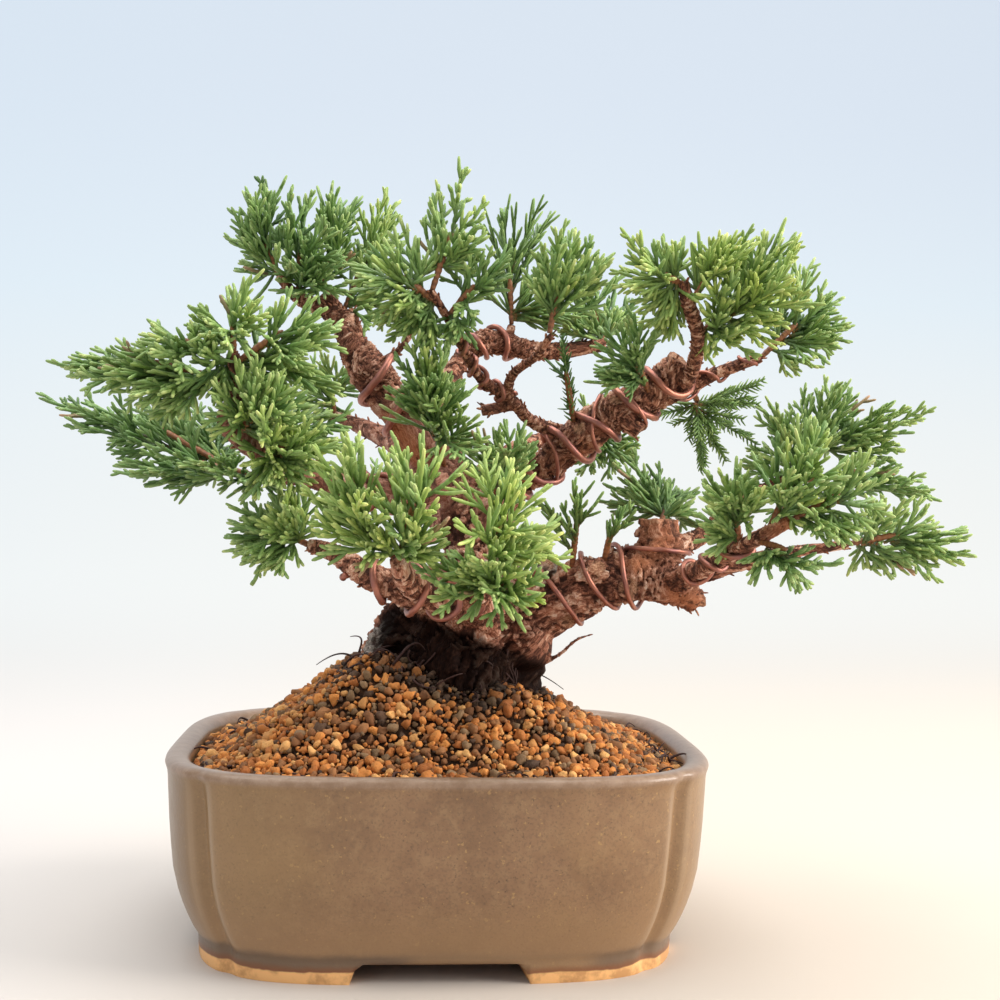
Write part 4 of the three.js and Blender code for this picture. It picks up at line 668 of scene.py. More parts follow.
# Heights on the pot, or places across it, in metres, between which a band of the finish comes or goes.
LIP_BAND = (0.0470, 0.0488)
WARM_BAND = (0.008, 0.024)
POOLED_BAND = (0.0062, 0.0086)
BURNT_BAND = (0.0036, 0.0052)
BARE_BAND = (0.0031, 0.0035)
FOOT_BAND = (0.017, 0.026)
OUTER_BAND = (0.035, 0.08)
# Across the pot's left end, where the glaze is darkened as painted shade.
LEFT_SHADE_BAND = (-0.0805, -0.0645)

OLIVE_GLAZE = (0.285, 0.175, 0.066)
WARM_GLAZE = (0.38, 0.225, 0.115)
# Painted shade for the pot's left end, away from the light.
LEFT_SHADE_GLAZE = (0.15, 0.085, 0.034)
PALE_LIP = (0.33, 0.225, 0.16)
POOLED_GLAZE = (0.125, 0.085, 0.06)
BURNT_CLAY = (0.22, 0.075, 0.025)
STAINED_CLAY = (0.50, 0.25, 0.095)
# Painted shade on faces of the pot that point down.
SHADED_UNDERSIDE = (0.17, 0.05, 0.022)

# Patches in the glaze, each over the last: scale, detail, roughness, from, to, strength, colour.
GLAZE_PATCHES = {
    "mottle": (300, 5, 0.7, 0.42, 0.72, 0.55, (0.33, 0.20, 0.10)),
    "grain": (1600, 2, 0.6, 0.48, 0.68, 0.4, (0.12, 0.072, 0.042)),
    "flecks": (820, 2, 0.5, 0.66, 0.72, 0.5, (0.48, 0.29, 0.11)),
    "pits": (1150, 3, 0.6, 0.64, 0.70, 0.6, (0.07, 0.04, 0.025)),
    "ochre": (26, 2, 0.5, 0.55, 0.8, 0.3, (0.33, 0.185, 0.06)),
}


def glaze_material(settings):
    """Taupe glaze: mottled, paler where it breaks over an edge, a mauve-grey lip, bare clay on the feet;
    painted shade darkens its left end and the faces that point down.
    """
    f = Finish("taupe_glaze", Specular_IOR_Level=0.4, Coat_Weight=0.3, Coat_Roughness=0.22)
    where = f.place()
    x, y, height = f.separate(where)
    cloud = f.noise(where, 48, 4, 0.6)
    base = f.mix(f.grey(cloud, 0.28, 0.72), settings.dark_glaze, settings.light_glaze)
    patches = {}
    for name, (scale, detail, roughness, start, end, strength, colour) in GLAZE_PATCHES.items():
        patches[name] = f.noise(where, scale, detail, roughness)
        base = f.layer(base, colour, f.grey(patches[name], start, end), strength)
    low = f.below(height, *WARM_BAND)
    outer = f.grey(f.plus(f.math("ABSOLUTE", x), f.times(cloud, 0.03)), *OUTER_BAND)
    base = f.layer(base, OLIVE_GLAZE, f.math("MAXIMUM", outer, f.times(low, 0.7)), 0.5)
    base = f.layer(base, WARM_GLAZE, low, 0.5)
    # Painted shade: the left end of the pot is darkened.
    base = f.layer(base, LEFT_SHADE_GLAZE, f.below(x, *LEFT_SHADE_BAND), 0.6)
    base = f.layer(base, settings.edge_colour, f.attribute("thin_glaze"), 0.6)
    lip_colour = f.mix(f.grey(patches["mottle"], 0.35, 0.7), settings.lip_colour, PALE_LIP)
    base = f.layer(base, lip_colour, f.grey(height, *LIP_BAND), 0.85)
    wavy = f.plus(height, f.about_zero(cloud, 0.004))
    on_foot = f.math("MINIMUM", *(f.grey(f.math("ABSOLUTE", side), *FOOT_BAND) for side in (x, y)))
    pooled = f.plus(0.12, f.times(on_foot, 0.62))
    base = f.layer(base, POOLED_GLAZE, f.below(wavy, *POOLED_BAND), pooled)
    base = f.layer(base, BURNT_CLAY, f.below(wavy, *BURNT_BAND), 0.75)
    clay = f.layer(settings.clay_colour, STAINED_CLAY, f.grey(f.noise(where, 130, 4, 0.65), 0.42, 0.62), 0.8)
    bare = f.math("MAXIMUM", f.below(wavy, *BARE_BAND), f.attribute("bare_clay"))
    base = f.mix(bare, base, clay)
    # Painted shade: faces that point down are darkened.
    facing = f.separate(f.node("NewGeometry").outputs["Normal"])[2]
    f.colour(f.layer(base, SHADED_UNDERSIDE, f.below(facing, -0.9, -0.6), 0.75))
    f.rough(f.plus(f.times(bare, 0.42), f.plus(0.33, f.times(patches["mottle"], 0.2))))
    f.bump(f.plus(f.noise(where, 380, 4, 0.6), f.times(patches["grain"], 0.3)), 0.16, 0.0006)
    return f.material


def grain_material(name):
    """Fired clay, pumice and lava: each grain has its own colour, mottled, with a pitted face."""
    f = Finish(name, Roughness=0.8, Specular_IOR_Level=0.35)
    where = f.place()
    own = f.attribute("colour", "Vector")
    speckle = f.noise(where, 1300, 4, 0.65)
    dusty = f.mix(0.5, own, (0.30, 0.17, 0.085))
    tinted = f.layer(own, dusty, f.grey(speckle, 0.45, 0.75), 0.5)
    shade = f.mix(f.grey(speckle, 0.2, 0.5), (0.55, 0.48, 0.42), (1.0, 1.0, 1.0))
    f.colour(f.mix(1.0, tinted, shade, "MULTIPLY"))
    f.bump(f.noise(where, 2400, 3, 0.6), 0.4, 0.0004)
    return f.material


# Soil colours, dark partly as painted shade where the soil shows between the grains.
SOIL_AND_GAP_SHADE_COLOURS = ((0.3, (0.012, 0.006, 0.004)), (0.6, (0.06, 0.026, 0.012)), (0.8, (0.20, 0.085, 0.03)))


def soil_material():
    """Dark, wet soil, kept darker still as painted shade for the gaps between the grains."""
    f = Finish("damp_soil_and_gap_shade", Roughness=0.95, Specular_IOR_Level=0.2)
    crumbs = f.noise(f.place(), 700, 5, 0.7)
    f.colour(f.ramp(crumbs, SOIL_AND_GAP_SHADE_COLOURS))
    f.bump(crumbs, 0.9, 0.0012)
    return f.material


# Colours of the wood, each pair from dark to light.
WORN_BARK = ((0.21, 0.085, 0.058), (0.40, 0.19, 0.14))
ORANGE_BARK = ((0.40, 0.12, 0.05), (0.60, 0.25, 0.12))
SAWN_WOOD = ((0.22, 0.09, 0.045), (0.46, 0.26, 0.15))
PALE_FLAKE = (0.82, 0.62, 0.50)
DEAD_FURROW = (0.11, 0.09, 0.078)
DEAD_CRACK = (0.045, 0.036, 0.03)
# Near-black foot of the trunk: wet bark and painted shade under the overhang.
DAMP_AND_SHADE_BARK = (0.006, 0.0026, 0.002)


def bark_material(settings):
    """Red-brown flaking bark with dark cracks, grey dead wood, sawn ends and a wet black foot; painted shade
    darkens the cracks, a hollow and the foot under the overhang.
    """
    f = Finish("juniper_bark", Specular_IOR_Level=0.3)
    grain = f.attribute("grain", "Vector")
    strips = f.noise(grain, 0.6, 5, 0.7)
    fine = f.noise(grain, 2.6, 4, 0.65)
    mixed = f.plus(f.times(f.attribute("tone"), 0.30), f.times(strips, 0.8))
    bark = f.ramp(f.plus(mixed, f.about_zero(fine, 0.8)), [
        (0.28, settings.crack_and_shade_colour), (0.40, settings.dark_bark), (0.55, settings.light_bark),
        (0.68, settings.flake_colour), (0.82, PALE_FLAKE),
    ])
    bark = f.layer(bark, f.mix(f.grey(strips, 0.3, 0.7), *WORN_BARK), f.attribute("smooth"), 0.5)
    bark = f.layer(bark, f.mix(f.grey(fine, 0.35, 0.65), *ORANGE_BARK), f.attribute("inner"), 0.85)
    dead = f.mix(f.grey(fine, 0.3, 0.6), DEAD_FURROW, settings.dead_wood)
    dead = f.layer(dead, DEAD_CRACK, f.grey(strips, 0.52, 0.6), 0.75)
    bark = f.mix(f.grey(f.plus(f.attribute("dead"), f.times(strips, 0.5)), 0.45, 0.6), bark, dead)
    rings = f.mix(f.grey(fine, 0.4, 0.6), *SAWN_WOOD)
    bark = f.layer(bark, rings, f.attribute("sawn"), f.grey(strips, 0.25, 0.6))
    # Painted shade in the cracks and the hollow, over the cracks' own dark colour.
    bark = f.layer(bark, settings.crack_and_shade_colour, f.below(f.attribute("depth"), -0.5, 0.05), 0.8)
    # The black foot: wet bark and painted shade under the overhanging trunk.
    damp_and_shade = f.grey(f.plus(f.attribute("damp_and_shade"), f.about_zero(strips, 0.7)), 0.2, 0.8)
    f.colour(f.layer(bark, DAMP_AND_SHADE_BARK, damp_and_shade, 0.95))
    f.rough(f.math("SUBTRACT", 0.84, f.times(damp_and_shade, 0.2)))
    f.link(f.math("SUBTRACT", 0.3, f.times(damp_and_shade, 0.24)), f.shader.inputs["Specular IOR Level"])
    f.bump(f.plus(f.times(strips, 0.5), f.times(fine, 0.5)), 0.7, 0.0009)
    return f.material


def wire_material(settings):
    """Coppery anodised aluminium with duller, redder worn stretches."""
    f = Finish("anodised_wire", Metallic=0.75)
    where = f.place()
    worn = f.noise(where, 240, 4, 0.6)
    f.colour(f.mix(f.grey(worn, 0.35, 0.7), settings.wire_colour, settings.worn_colour))
    f.rough(f.plus(0.32, f.times(worn, 0.25)))
    f.bump(f.noise(where, 900, 3, 0.6), 0.15, 0.0002)
    return f.material


# Tints of the cords, over the greens: brown ones first, then from shaded to sunlit.
CORD_TINTS = (
    (0.0, (1.2, 0.55, 1.0)), (0.06, (1.1, 0.55, 0.9)), (0.1, (0.36, 0.46, 0.46)), (0.32, (0.72, 0.82, 0.84)),
    (0.52, (1.0, 1.0, 1.0)), (0.8, (1.42, 1.26, 1.0)), (1.0, (1.9, 1.6, 1.0)),
)
STEM_COLOURS = ((0.0, (0.13, 0.045, 0.022)), (0.1, (0.33, 0.13, 0.052)), (0.16, (0.13, 0.10, 0.028)))


def foliage_material(settings):
    """Scale leaves: woody at the shoot's base, mid green along it and yellow-green at the tips."""
    f = Finish("scale_leaves", Roughness=0.48, Specular_IOR_Level=0.4)
    spot = f.separate(f.node("UVMap", uv_map="OFBake").outputs["UV"])
    along = f.ramp(spot[1], [
        *STEM_COLOURS, (0.24, settings.inner_green), (0.6, settings.leaf_green),
        (0.86, settings.young_green), (1.0, settings.tip_green),
    ])
    f.colour(f.mix(1.0, along, f.ramp(spot[0], CORD_TINTS), "MULTIPLY"))
    return f.material


def mesh_plastic_material():
    """Dusty dark green plastic."""
    f = Finish("moulded_mesh", Roughness=0.55)
    dust = f.noise(f.place(), 900, 4, 0.6)
    f.colour(f.mix(f.grey(dust, 0.4, 0.7), (0.02, 0.03, 0.018), (0.06, 0.075, 0.05)))
    f.bump(dust, 0.2, 0.0003)
    return f.material


# ---------------------------------------------------------------- pot


def pot_plan(angle, inset, groove):
    """Distance of the pot's plan from its axis, drawn in by an inset, with a groove at each corner."""
    half_width = POT_WIDTH / 2 - inset
    half_depth = POT_DEPTH / 2 - inset
    cos, sin = np.cos(angle), np.sin(angle)
    n = POT_SQUARENESS
    radius = (np.abs(cos / half_width) ** n + np.abs(sin / half_depth) ** n) ** (-1 / n)
    from_corner = np.abs(np.arctan2(np.abs(sin), np.abs(cos)) - CORNER_ANGLE) * radius
    return radius - groove * np.exp(-((from_corner / GROOVE_HALF_WIDTH) ** 2)), from_corner


# Inset, height, groove, thin glaze and bare clay of the rings, from under the floor over the lip and down
# the inside.
POT_PROFILE = [
    [58, 6, 0, 0, 1], [30, 6, 0, 0, 1], [16.2, 6, 0, 0, 1], [15.4, 5.4, 0, 0, 1], [15.1, 0.6, 0, 0, 1],
    [14.6, 0, 0, 0, 1], [9.4, 0, 0.3, 0, 1], [8.8, 0.3, 0.3, 0, 0.6], [8.6, 1.0, 0.3, 0, 0],
    [8.5, 3.2, 0.4, 0, 0], [8.4, 5.4, 0.5, 0, 0], [8.3, 6.4, 0.5, 0.1, 0], [8.0, 6.9, 0.6, 0.4, 0],
    [7.5, 7.6, 0.7, 0.3, 0], [6.7, 9.0, 0.78, 0.1, 0], [5.6, 11.4, 0.85, 0, 0], [4.4, 14.5, 0.9, 0, 0],
    [3.3, 18, 0.95, 0, 0], [2.2, 23, 1, 0, 0], [1.6, 29, 1, 0, 0], [1.15, 35, 0.95, 0, 0],
    [0.9, 40, 0.9, 0, 0], [0.75, 43, 0.8, 0, 0], [0.65, 45.4, 0.65, 0, 0], [0.5, 46.8, 0.5, 0, 0],
    [0.2, 47.8, 0.35, 0, 0], [0.0, 48.5, 0.3, 0.1, 0], [0.15, 49.1, 0.25, 0.4, 0], [0.6, 49.6, 0.2, 0.8, 0],
    [1.3, 49.95, 0.18, 0.8, 0], [2.2, 50, 0.15, 0.3, 0], [3.6, 49.9, 0.1, 0.1, 0],
    [4.9, 49.4, 0.05, 0.2, 0], [5.6, 48.6, 0, 0.4, 0], [6.0, 47.6, 0, 0.3, 0], [6.4, 42, 0, 0, 0],
    [7.4, 22, 0, 0, 0.4], [14, 11, 0, 0, 1], [30, 11, 0, 0, 1], [58, 11, 0, 0, 1],
]


def pot_angles():
    """Angles around the pot, closer at the corner grooves and at the ends of the arches."""
    arch_ends = np.linspace(ARCH_HALF_TOP - 0.4, ARCH_HALF_BOTTOM + 0.4, 7)
    quarter = np.concatenate([
        np.linspace(0, math.pi / 2, 49), CORNER_ANGLE + np.linspace(-0.16, 0.16, 25),
        np.arctan2(FOOT_HALF_DEPTH, arch_ends), np.arctan2(arch_ends, FOOT_HALF_WIDTH),
    ])
    turned = np.concatenate([quarter, math.pi - quarter, math.pi + quarter, 2 * math.pi - quarter])
    turned = np.unique(np.round(turned % (2 * math.pi), 4))
    keep = np.concatenate([[True], np.diff(turned) > 0.003])
    return turned[keep]


def arch_height(x, y):
    """Height to which the arches between the feet lift the foot."""
    lift = np.maximum(*(rise(np.abs(across_pot), ARCH_HALF_BOTTOM, ARCH_HALF_TOP) for across_pot in (x, y)))
    return ARCH_HEIGHT * lift * lift * (3 - 2 * lift)


def drill_drains(pot):
    """Cuts the two drain holes."""
    drill = bmesh.new()
    for side in (-1, 1):
        bit = bmesh.ops.create_cone(drill, cap_ends=True, segments=40, radius1=DRAIN_RADIUS * MM,
                                    radius2=DRAIN_RADIUS * MM, depth=DRILL_LENGTH)
        centre = in_row([side * DRAIN_FROM_CENTRE, 0, FLOOR_MIDDLE])
        bmesh.ops.translate(drill, verts=bit["verts"], vec=Vector(centre))
    drill_mesh = bpy.data.meshes.new("drill")
    drill.to_mesh(drill_mesh)
    drill.free()
    drill_object = add_object("drill", drill_mesh)
    cut = pot.modifiers.new("drains", "BOOLEAN")
    cut.operation = "DIFFERENCE"
    cut.solver = "EXACT"
    cut.object = drill_object
    apply_modifiers(pot)
    bpy.data.objects.remove(drill_object)


def build_pot(settings):
    """The pot, ring by ring from under its floor to the inside of the floor, then drilled."""
    angles = pot_angles()
    points, thin, bare = [], [], []
    for inset, z, groove, thinness, clay in POT_PROFILE:
        radius, from_corner = pot_plan(angles, inset, groove * GROOVE_DEPTH)
        x, y = radius * np.cos(angles), radius * np.sin(angles)
        height = np.maximum(z, arch_height(x, y)) if z < ARCH_HEIGHT else np.full_like(x, z)
        points.append(np.stack([x, y, height], 1))
        ridge = np.exp(-(((from_corner - RIDGE_FROM_CORNER) / RIDGE_WIDTH) ** 2)) * groove
        thin.append(np.clip(thinness + 0.9 * ridge, 0, 1))
        bare.append(np.full_like(x, clay))
    quads, caps = ring_faces(len(points), len(angles)), end_fans(len(angles), len(points))
    points.append([[0, 0, POT_PROFILE[0][1]], [0, 0, POT_PROFILE[-1][1]]])
    pot = new_object("glazed_pot", in_row(np.vstack(points)), quads, caps)
    store(pot, "thin_glaze", np.concatenate([*thin, [0, 0]]))
    store(pot, "bare_clay", np.concatenate([*bare, [1, 1]]))
    drill_drains(pot)
    dress(pot, glaze_material(settings), ["pot"])


def apply_modifiers(piece):
    """Replaces a piece's mesh by its mesh with the modifiers applied."""
    graph = bpy.context.evaluated_depsgraph_get()
    mesh = bpy.data.meshes.new_from_object(piece.evaluated_get(graph))
    old = piece.data
    piece.modifiers.clear()
    piece.data = mesh
    mesh.name = old.name
    bpy.data.meshes.remove(old)


# ---------------------------------------------------------------- wood

THIN_LIMB = 4.0  # radius under which the bark's plates are half as large
GRAIN_STRETCH = 0.74
NARROWEST_CUT = 2.1
HOLLOW_DEPTH = 3.2
THICKEST_SCALY = 4.4
BARE_SHARE = 0.4
SCALES_SEED = 3
# Height and slope of the black foot: wet bark and painted shade.
DAMP_AND_SHADE_HEIGHT = 89.0
DAMP_AND_SHADE_SLOPE = 0.38
ROOT_FIELDS = {"tone": 0.4, "depth": 0.4, "dead": 0.0, "sawn": 0.0, "inner": 0.0, "smooth": 0.0, "damp_and_shade": 0.5}


def limb_tube(name, spacing, side_length):
    """A limb as a tube of nearly square faces."""
    centres, radii, _, normals, binormals = limb_rings(name, spacing)
    sides = int(np.clip(round(2 * math.pi * radii.mean() / side_length), 8, 90))
    return tube(centres, radii, normals, binormals, sides, bark_relief)


def limb_samples():
    """Centres, directions and radii of places along every limb above the roots."""
    rows = []
    for name in LIMBS:
        if name not in ROOTS:
            centres, radii, tangents, _, _ = limb_rings(name, 2.0)
            rows.append(np.hstack([centres, tangents, radii[:, None]]))
    return np.vstack(rows)


def bark_field(points, samples):
    """The limb direction and radius around each point, blended from the nearest places."""
    tree = kdtree.KDTree(len(samples))
    for k, row in enumerate(samples):
        tree.insert(row[:3], k)
    tree.balance()
    along = np.empty_like(points)
    radius = np.empty(len(points))
    for k, point in enumerate(points):
        near = tree.find_n(point, 5)
        index = [hit[1] for hit in near]
        weight = np.array([1 / (hit[2] + 0.5) ** 2 for hit in near])
        picked = samples[index]
        ways = picked[:, 3:6] * np.sign(picked[:, 3:6] @ picked[0, 3:6])[:, None]
        along[k] = weight @ ways
        radius[k] = weight @ picked[:, 6] / weight.sum()
    return unit(along), radius


def near_strips(points, strips, softness):
    """How far each point is inside the nearest of some round-ended strips, from 0 to 1."""
    inside = np.zeros(len(points))
    for row in strips:
        start, end, radius = np.array(row[:3]), np.array(row[3:6]), row[6]
        along = end - start
        place = np.clip(((points - start) @ along) / (along @ along), 0, 1)
        distance = np.linalg.norm(points - start - place[:, None] * along, axis=1)
        inside = np.maximum(inside, rise(distance, radius, radius * (1 - softness)))
    return inside


def bark_noise(points, grain, radius):
    """Plates, cracks, strips, burls and chips of the bark at each point."""
    rows = np.empty((len(points), 5))
    for row, spot, place, size in zip(rows, grain, points, radius):
        spot = Vector(spot)
        bent = spot + noise.noise_vector(spot * 0.28) * 1.5 + noise.noise_vector(spot * 0.9) * 0.5
        distances, cells = noise.voronoi(bent * (0.5 if size < THIN_LIMB else 0.25))
        row[:] = (
            noise.cell(cells[0] * 7.3), 1 - min(1.0, (distances[1] - distances[0]) * 4.4),
            noise.fractal(spot * 0.55, 0.8, 2.2, 4), noise.fractal(Vector(place) * 0.15, 0.7, 2.1, 3),
            noise.fractal(bent * 0.95, 0.6, 2.3, 3),
        )
    return rows.T


def knob(row):
    """Start, direction, radius and length of a stub."""
    return np.array(row[:3], float), unit(np.array(row[3:6], float)), row[6], row[7]


def knob_tube(row):
    """A short stub with a flat, slightly flared end."""
    start, way, radius, length = knob(row)
    at = np.linspace(-0.6, 1, 9)
    centres = start + way * (at * length)[:, None]
    size = radius * np.interp(at, [-0.6, 0.2, 0.75, 1], [1.35, 1.05, 1.12, 0.92])
    normals, binormals = carried_frames(np.repeat(way[None], len(at), 0))
    return tube(centres, size, normals, binormals, 18)


def bark_shape(points, samples):
    """How far bark plates, cracks and burls move each point out, and what the finish needs to know of it."""
    along, radius = bark_field(points, samples)
    grain = points - along * (points * along).sum(1, keepdims=True) * GRAIN_STRETCH
    plate, crack, strips, burls, chips = bark_noise(points, grain, radius)
    cuts = [[*(start + way * size * 0.9), *(start + way * (size + 1)), width * 0.85]
            for start, way, width, size in map(knob, KNOBS) if width > NARROWEST_CUT]
    dead = near_strips(points, DEAD_WOOD, 0.6)
    sawn = near_strips(points, SAWN_ENDS + cuts, 0.3)
    hollow = near_strips(points, HOLLOWS, 0.9)
    inner = near_strips(points, INNER_BARK, 0.8)
    smooth = rise(points[:, 2], 100, 112) * rise(radius, 9, 6) * (points[:, 0] < 14)
    smooth = np.maximum(smooth * rise(points[:, 2], 142, 134), 0.7 * inner)
    rough = (1 - 0.55 * dead) * (1 - 0.75 * sawn) * (1 - 0.6 * smooth)
    thick = np.clip((radius - 1.2) / 7, 0.06, 1)
    out = thick * rough * (0.7 * plate - 0.3 - 0.7 * crack**2) * 1.2
    out += np.clip(radius * 0.06, 0.1, 0.4) * strips * rough
    out += np.clip((radius - 2) * 0.2, 0.05, 1.2) * burls * (1 - 0.7 * smooth)
    out += np.clip(radius * 0.11, 0.1, 0.55) * chips * rough
    out -= HOLLOW_DEPTH * hollow**1.4
    # How deep each point lies; the finish paints shade in the cracks and the hollow from it.
    depth = 0.4 + 0.5 * plate - 0.95 * crack * (1 - 0.5 * smooth)
    depth += 0.4 * strips + 0.45 * chips - 1.2 * hollow
    return out, {
        "grain": grain, "tone": np.clip(plate + 0.25 * strips + 0.4 * chips, 0, 1), "depth": depth,
        "dead": dead, "sawn": sawn, "inner": inner, "smooth": smooth,
    }


def foot_damp_and_shade(points):
    """How wet and black the bark's foot is, low on the trunk and round to its right, with painted shade
    under the trunk's overhang.
    """
    foot = DAMP_AND_SHADE_HEIGHT - DAMP_AND_SHADE_SLOPE * np.clip(points[:, 0] + 11, 0, 40)
    damp_and_shade = rise(points[:, 2], foot, foot - 7) * rise(points[:, 0], -19, -12)
    return np.clip(damp_and_shade * 1.2, 0, 1)


def build_wood(settings):
    """Trunk, limbs, burls and twigs in one skin, with bark plates and cracks; roots under the soil."""
    limbs = [limb_tube(name, 1.0, 1.0) for name in LIMBS if name not in ROOTS]
    wood = new_object("trunk_and_limbs", *gather(limbs + [knob_tube(row) for row in KNOBS]))
    skin = wood.modifiers.new("skin", "REMESH")
    skin.mode = "VOXEL"
    skin.voxel_size = settings.skin_step / MM
    skin.use_smooth_shade = True
    apply_modifiers(wood)
    points = vectors_of(wood.data.vertices, "co")
    out, fields = bark_shape(points, limb_samples())
    points = points + vectors_of(wood.data.vertex_normals, "vector") * (out * settings.relief)[:, None]
    wood.data.vertices.foreach_set("co", in_row(points).astype(np.float32).ravel())
    wood.data.update()
    fields["damp_and_shade"] = foot_damp_and_shade(points)
    for name, values in fields.items():
        store(wood, name, values)
    material = bark_material(settings)
    dress(wood, material, ["wood"])
    build_scales()
    shape = gather([limb_tube(name, 2.0, 2.0) for name in ROOTS])
    roots = add_piece("roots", shape, material)
    store(roots, "grain", shape[0])
    for name, value in ROOT_FIELDS.items():
        store(roots, name, np.full(len(shape[0]), value))


def build_scales():
    """Dried leaf scales and curls of bark that still stand on the thin limbs."""
    draw = np.random.default_rng(SCALES_SEED)
    scales = Cords()
    for name in LIMBS:
        if name in ROOTS or name == "root_twig":
            continue
        for centre, radius, tangent, normal, binormal in zip(*limb_rings(name, 0.55)):
            if radius > THICKEST_SCALY or draw.random() < BARE_SHARE:
                continue
            out = swung(normal, binormal, draw.uniform(0, 2 * math.pi))
            way = unit(tangent * draw.uniform(1.0, 2.4) + out)
            length = draw.uniform(0.6, 1.4) + radius * 0.22
            scales.add(centre + out * radius * 0.8, way, length, out * draw.uniform(-0.3, 0.5),
                       draw.uniform(0.22, 0.42), 0.5, 0.1, 0.9, 0.3)
    f = Finish("dried_scales", Roughness=0.85, Specular_IOR_Level=0.25)
    f.colour(f.ramp(f.noise(f.place(), 420, 3, 0.6), [
        (0.34, (0.07, 0.024, 0.014)), (0.5, (0.24, 0.085, 0.046)), (0.68, (0.50, 0.24, 0.14)),
    ]))
    add_piece("bark_scales", scales.build(0.6, 5)[0], f.material)


# ---------------------------------------------------------------- wires


def wire_route(wire, surface):
    """Places along a wire that lies on the bark, wound round its limb."""
    limb, start, end, turns, first, thickness = wire
    centres, radii, _, normals, binormals = limb_rings(limb, 0.25)
    count = int(abs(turns) * WIRE_STEPS_PER_TURN)
    places, outs, reaches = [], [], []
    for k in range(count + 1):
        angle = first + 2 * math.pi * turns * k / count
        uneven = 0.35 * math.sin(1.7 * angle + first) + 0.25 * math.sin(0.61 * angle)
        u = start + (end - start) * min(1, max(0, (k + 9 * uneven) / count))
        row = int(round(u * (len(centres) - 1)))
        out = swung(normals[row], binormals[row], angle)
        reach = radii[row] * 0.9
        while reach < radii[row] + FURTHEST_OFF:
            spot = Vector(in_row(centres[row] + out * reach))
            hit, normal, _, distance = surface.find_nearest(spot)
            if (spot - hit).dot(normal) > 0 and distance > thickness * MM * 0.85:
                break
            reach += OUTWARD_STEP
        places.append(centres[row])
        outs.append(out)
        reaches.append(reach)
    reaches = np.array(reaches)
    for _ in range(PULLS):
        reaches[1:-1] = np.maximum(reaches[1:-1], (reaches[:-2] + reaches[2:]) / 2)
    for _ in range(SMOOTHINGS):
        reaches[1:-1] = (reaches[:-2] + 2 * reaches[1:-1] + reaches[2:]) / 4
    return np.array(places) + np.array(outs) * reaches[:, None]


def build_wires(settings, surface):
    """Each training wire, with the thinner ones in its piece."""
    material = wire_material(settings)
    for name, wire in WIRES.items():
        strands = []
        for row in [wire] + THIN_WIRES.get(name, []):
            route = wire_route(row, surface)
            radii = np.full(len(route), row[5])
            radii[[0, -1]] *= 0.8
            strands.append(strand(route, radii, WIRE_SIDES))
        add_piece("strand_" + name, gather(strands), material, [name])


# ---------------------------------------------------------------- soil

BED_SIDES = 144
BED_BOTTOM = 12.5
BED_WALL = ((14.6, BED_BOTTOM), (8.2, 22.0), (SOIL_WALL_INSET, 44.0))  # inset and height of its rings
BED_TOP_RINGS = 48
GRAIN_SIZES = ((1.0, 2600), (0.74, 6200), (0.54, 14000), (0.36, 24000))  # part of the full radius, and tries
GRAIN_SHAPES = 30
GRAIN_BANDS = {  # least part of the full radius, and how finely the grains are rounded
    "coarse_grains": (0.78, 2), "middling_grains": (0.5, 2), "fine_grains": (0, 1),
}
GRID_STEP = 3.4
CLOSEST = 0.7  # of the sum of two radii
LOOSE_ROOTLETS = 150
TANGLED_ROOTLETS = 26
TRUNK_ROOTLETS = 30
TRUNK_AXIS = (4.0, -0.5)
TRUNK_REACH = (19.9, 18.9)
TANGLE_ANGLE = -0.3
ROOTLET_RINGS = 14
ROOTLET_TIP = 0.1


def soil_height(x, y):
    """Height of the heap, without its grains."""
    angle = np.arctan2(y, x)
    wall, _ = pot_plan(angle, SOIL_WALL_INSET, 0)
    peak = SOIL_PEAK - SOIL_HIGHER_LEFT * np.cos(angle)
    fall = rise(np.hypot(x, y) / wall, SOIL_FLAT_TOP, 1)
    return SOIL_EDGE + (peak - SOIL_EDGE) * (1 - fall) ** SOIL_HOLLOW


class Heap:
    """The heap's surface: lumps of the frame's soil, and its plain slope where the trunk stands in it."""

    def __init__(self):
        self.solid = BVHTree.FromObject(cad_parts["soil"], bpy.context.evaluated_depsgraph_get())

    def lumps(self, x, y):
        """The solid's own surface at a place."""
        plain = float(soil_height(x, y))
        above = Vector(in_row([x, y, plain + 8]))
        hit = self.solid.ray_cast(above, Vector((0, 0, -1)))[0]
        if hit is None:
            return plain
        return float(np.clip(hit.z / MM, plain - 1.4, plain + 2.6))

    def height(self, x, y):
        """The surface, rounded off over a few millimetres."""
        near = [self.lumps(x + dx, y + dy) for dx, dy in ((0, 0), (1.8, 0), (-1.8, 0), (0, 1.8), (0, -1.8))]
        return 0.4 * near[0] + 0.15 * sum(near[1:])


def build_soil_bed(heap):
    """The dark soil between and under the grains, down to the pot's floor; its darkness is partly painted
    shade in the gaps.
    """
    angles = circle(BED_SIDES)
    cos, sin = np.cos(angles), np.sin(angles)
    rings = []
    for inset, z in BED_WALL:
        radius, _ = pot_plan(angles, inset, 0)
        rings.append(np.stack([radius * cos, radius * sin, np.full(BED_SIDES, z)], 1))
    wall, _ = pot_plan(angles, SOIL_WALL_INSET, 0)
    for reach in np.linspace(1, 0.06, BED_TOP_RINGS):
        x, y = wall * reach * cos, wall * reach * sin
        crumbs = np.array([noise.fractal(Vector((a, b, 0)) * 0.3, 1, 2, 3) for a, b in zip(x, y)])
        top = np.array([heap.height(a, b) for a, b in zip(x, y)])
        rings.append(np.stack([x, y, top - 1.0 + 0.5 * crumbs], 1))
    quads, caps = ring_faces(len(rings), BED_SIDES), end_fans(BED_SIDES, len(rings))
    ends = np.array([[0, 0, BED_BOTTOM], [0, 0, rings[-1][:, 2].mean()]])
    add_piece("soil_bed", (np.vstack([*rings, ends]), quads, caps), soil_material(), ["soil"])


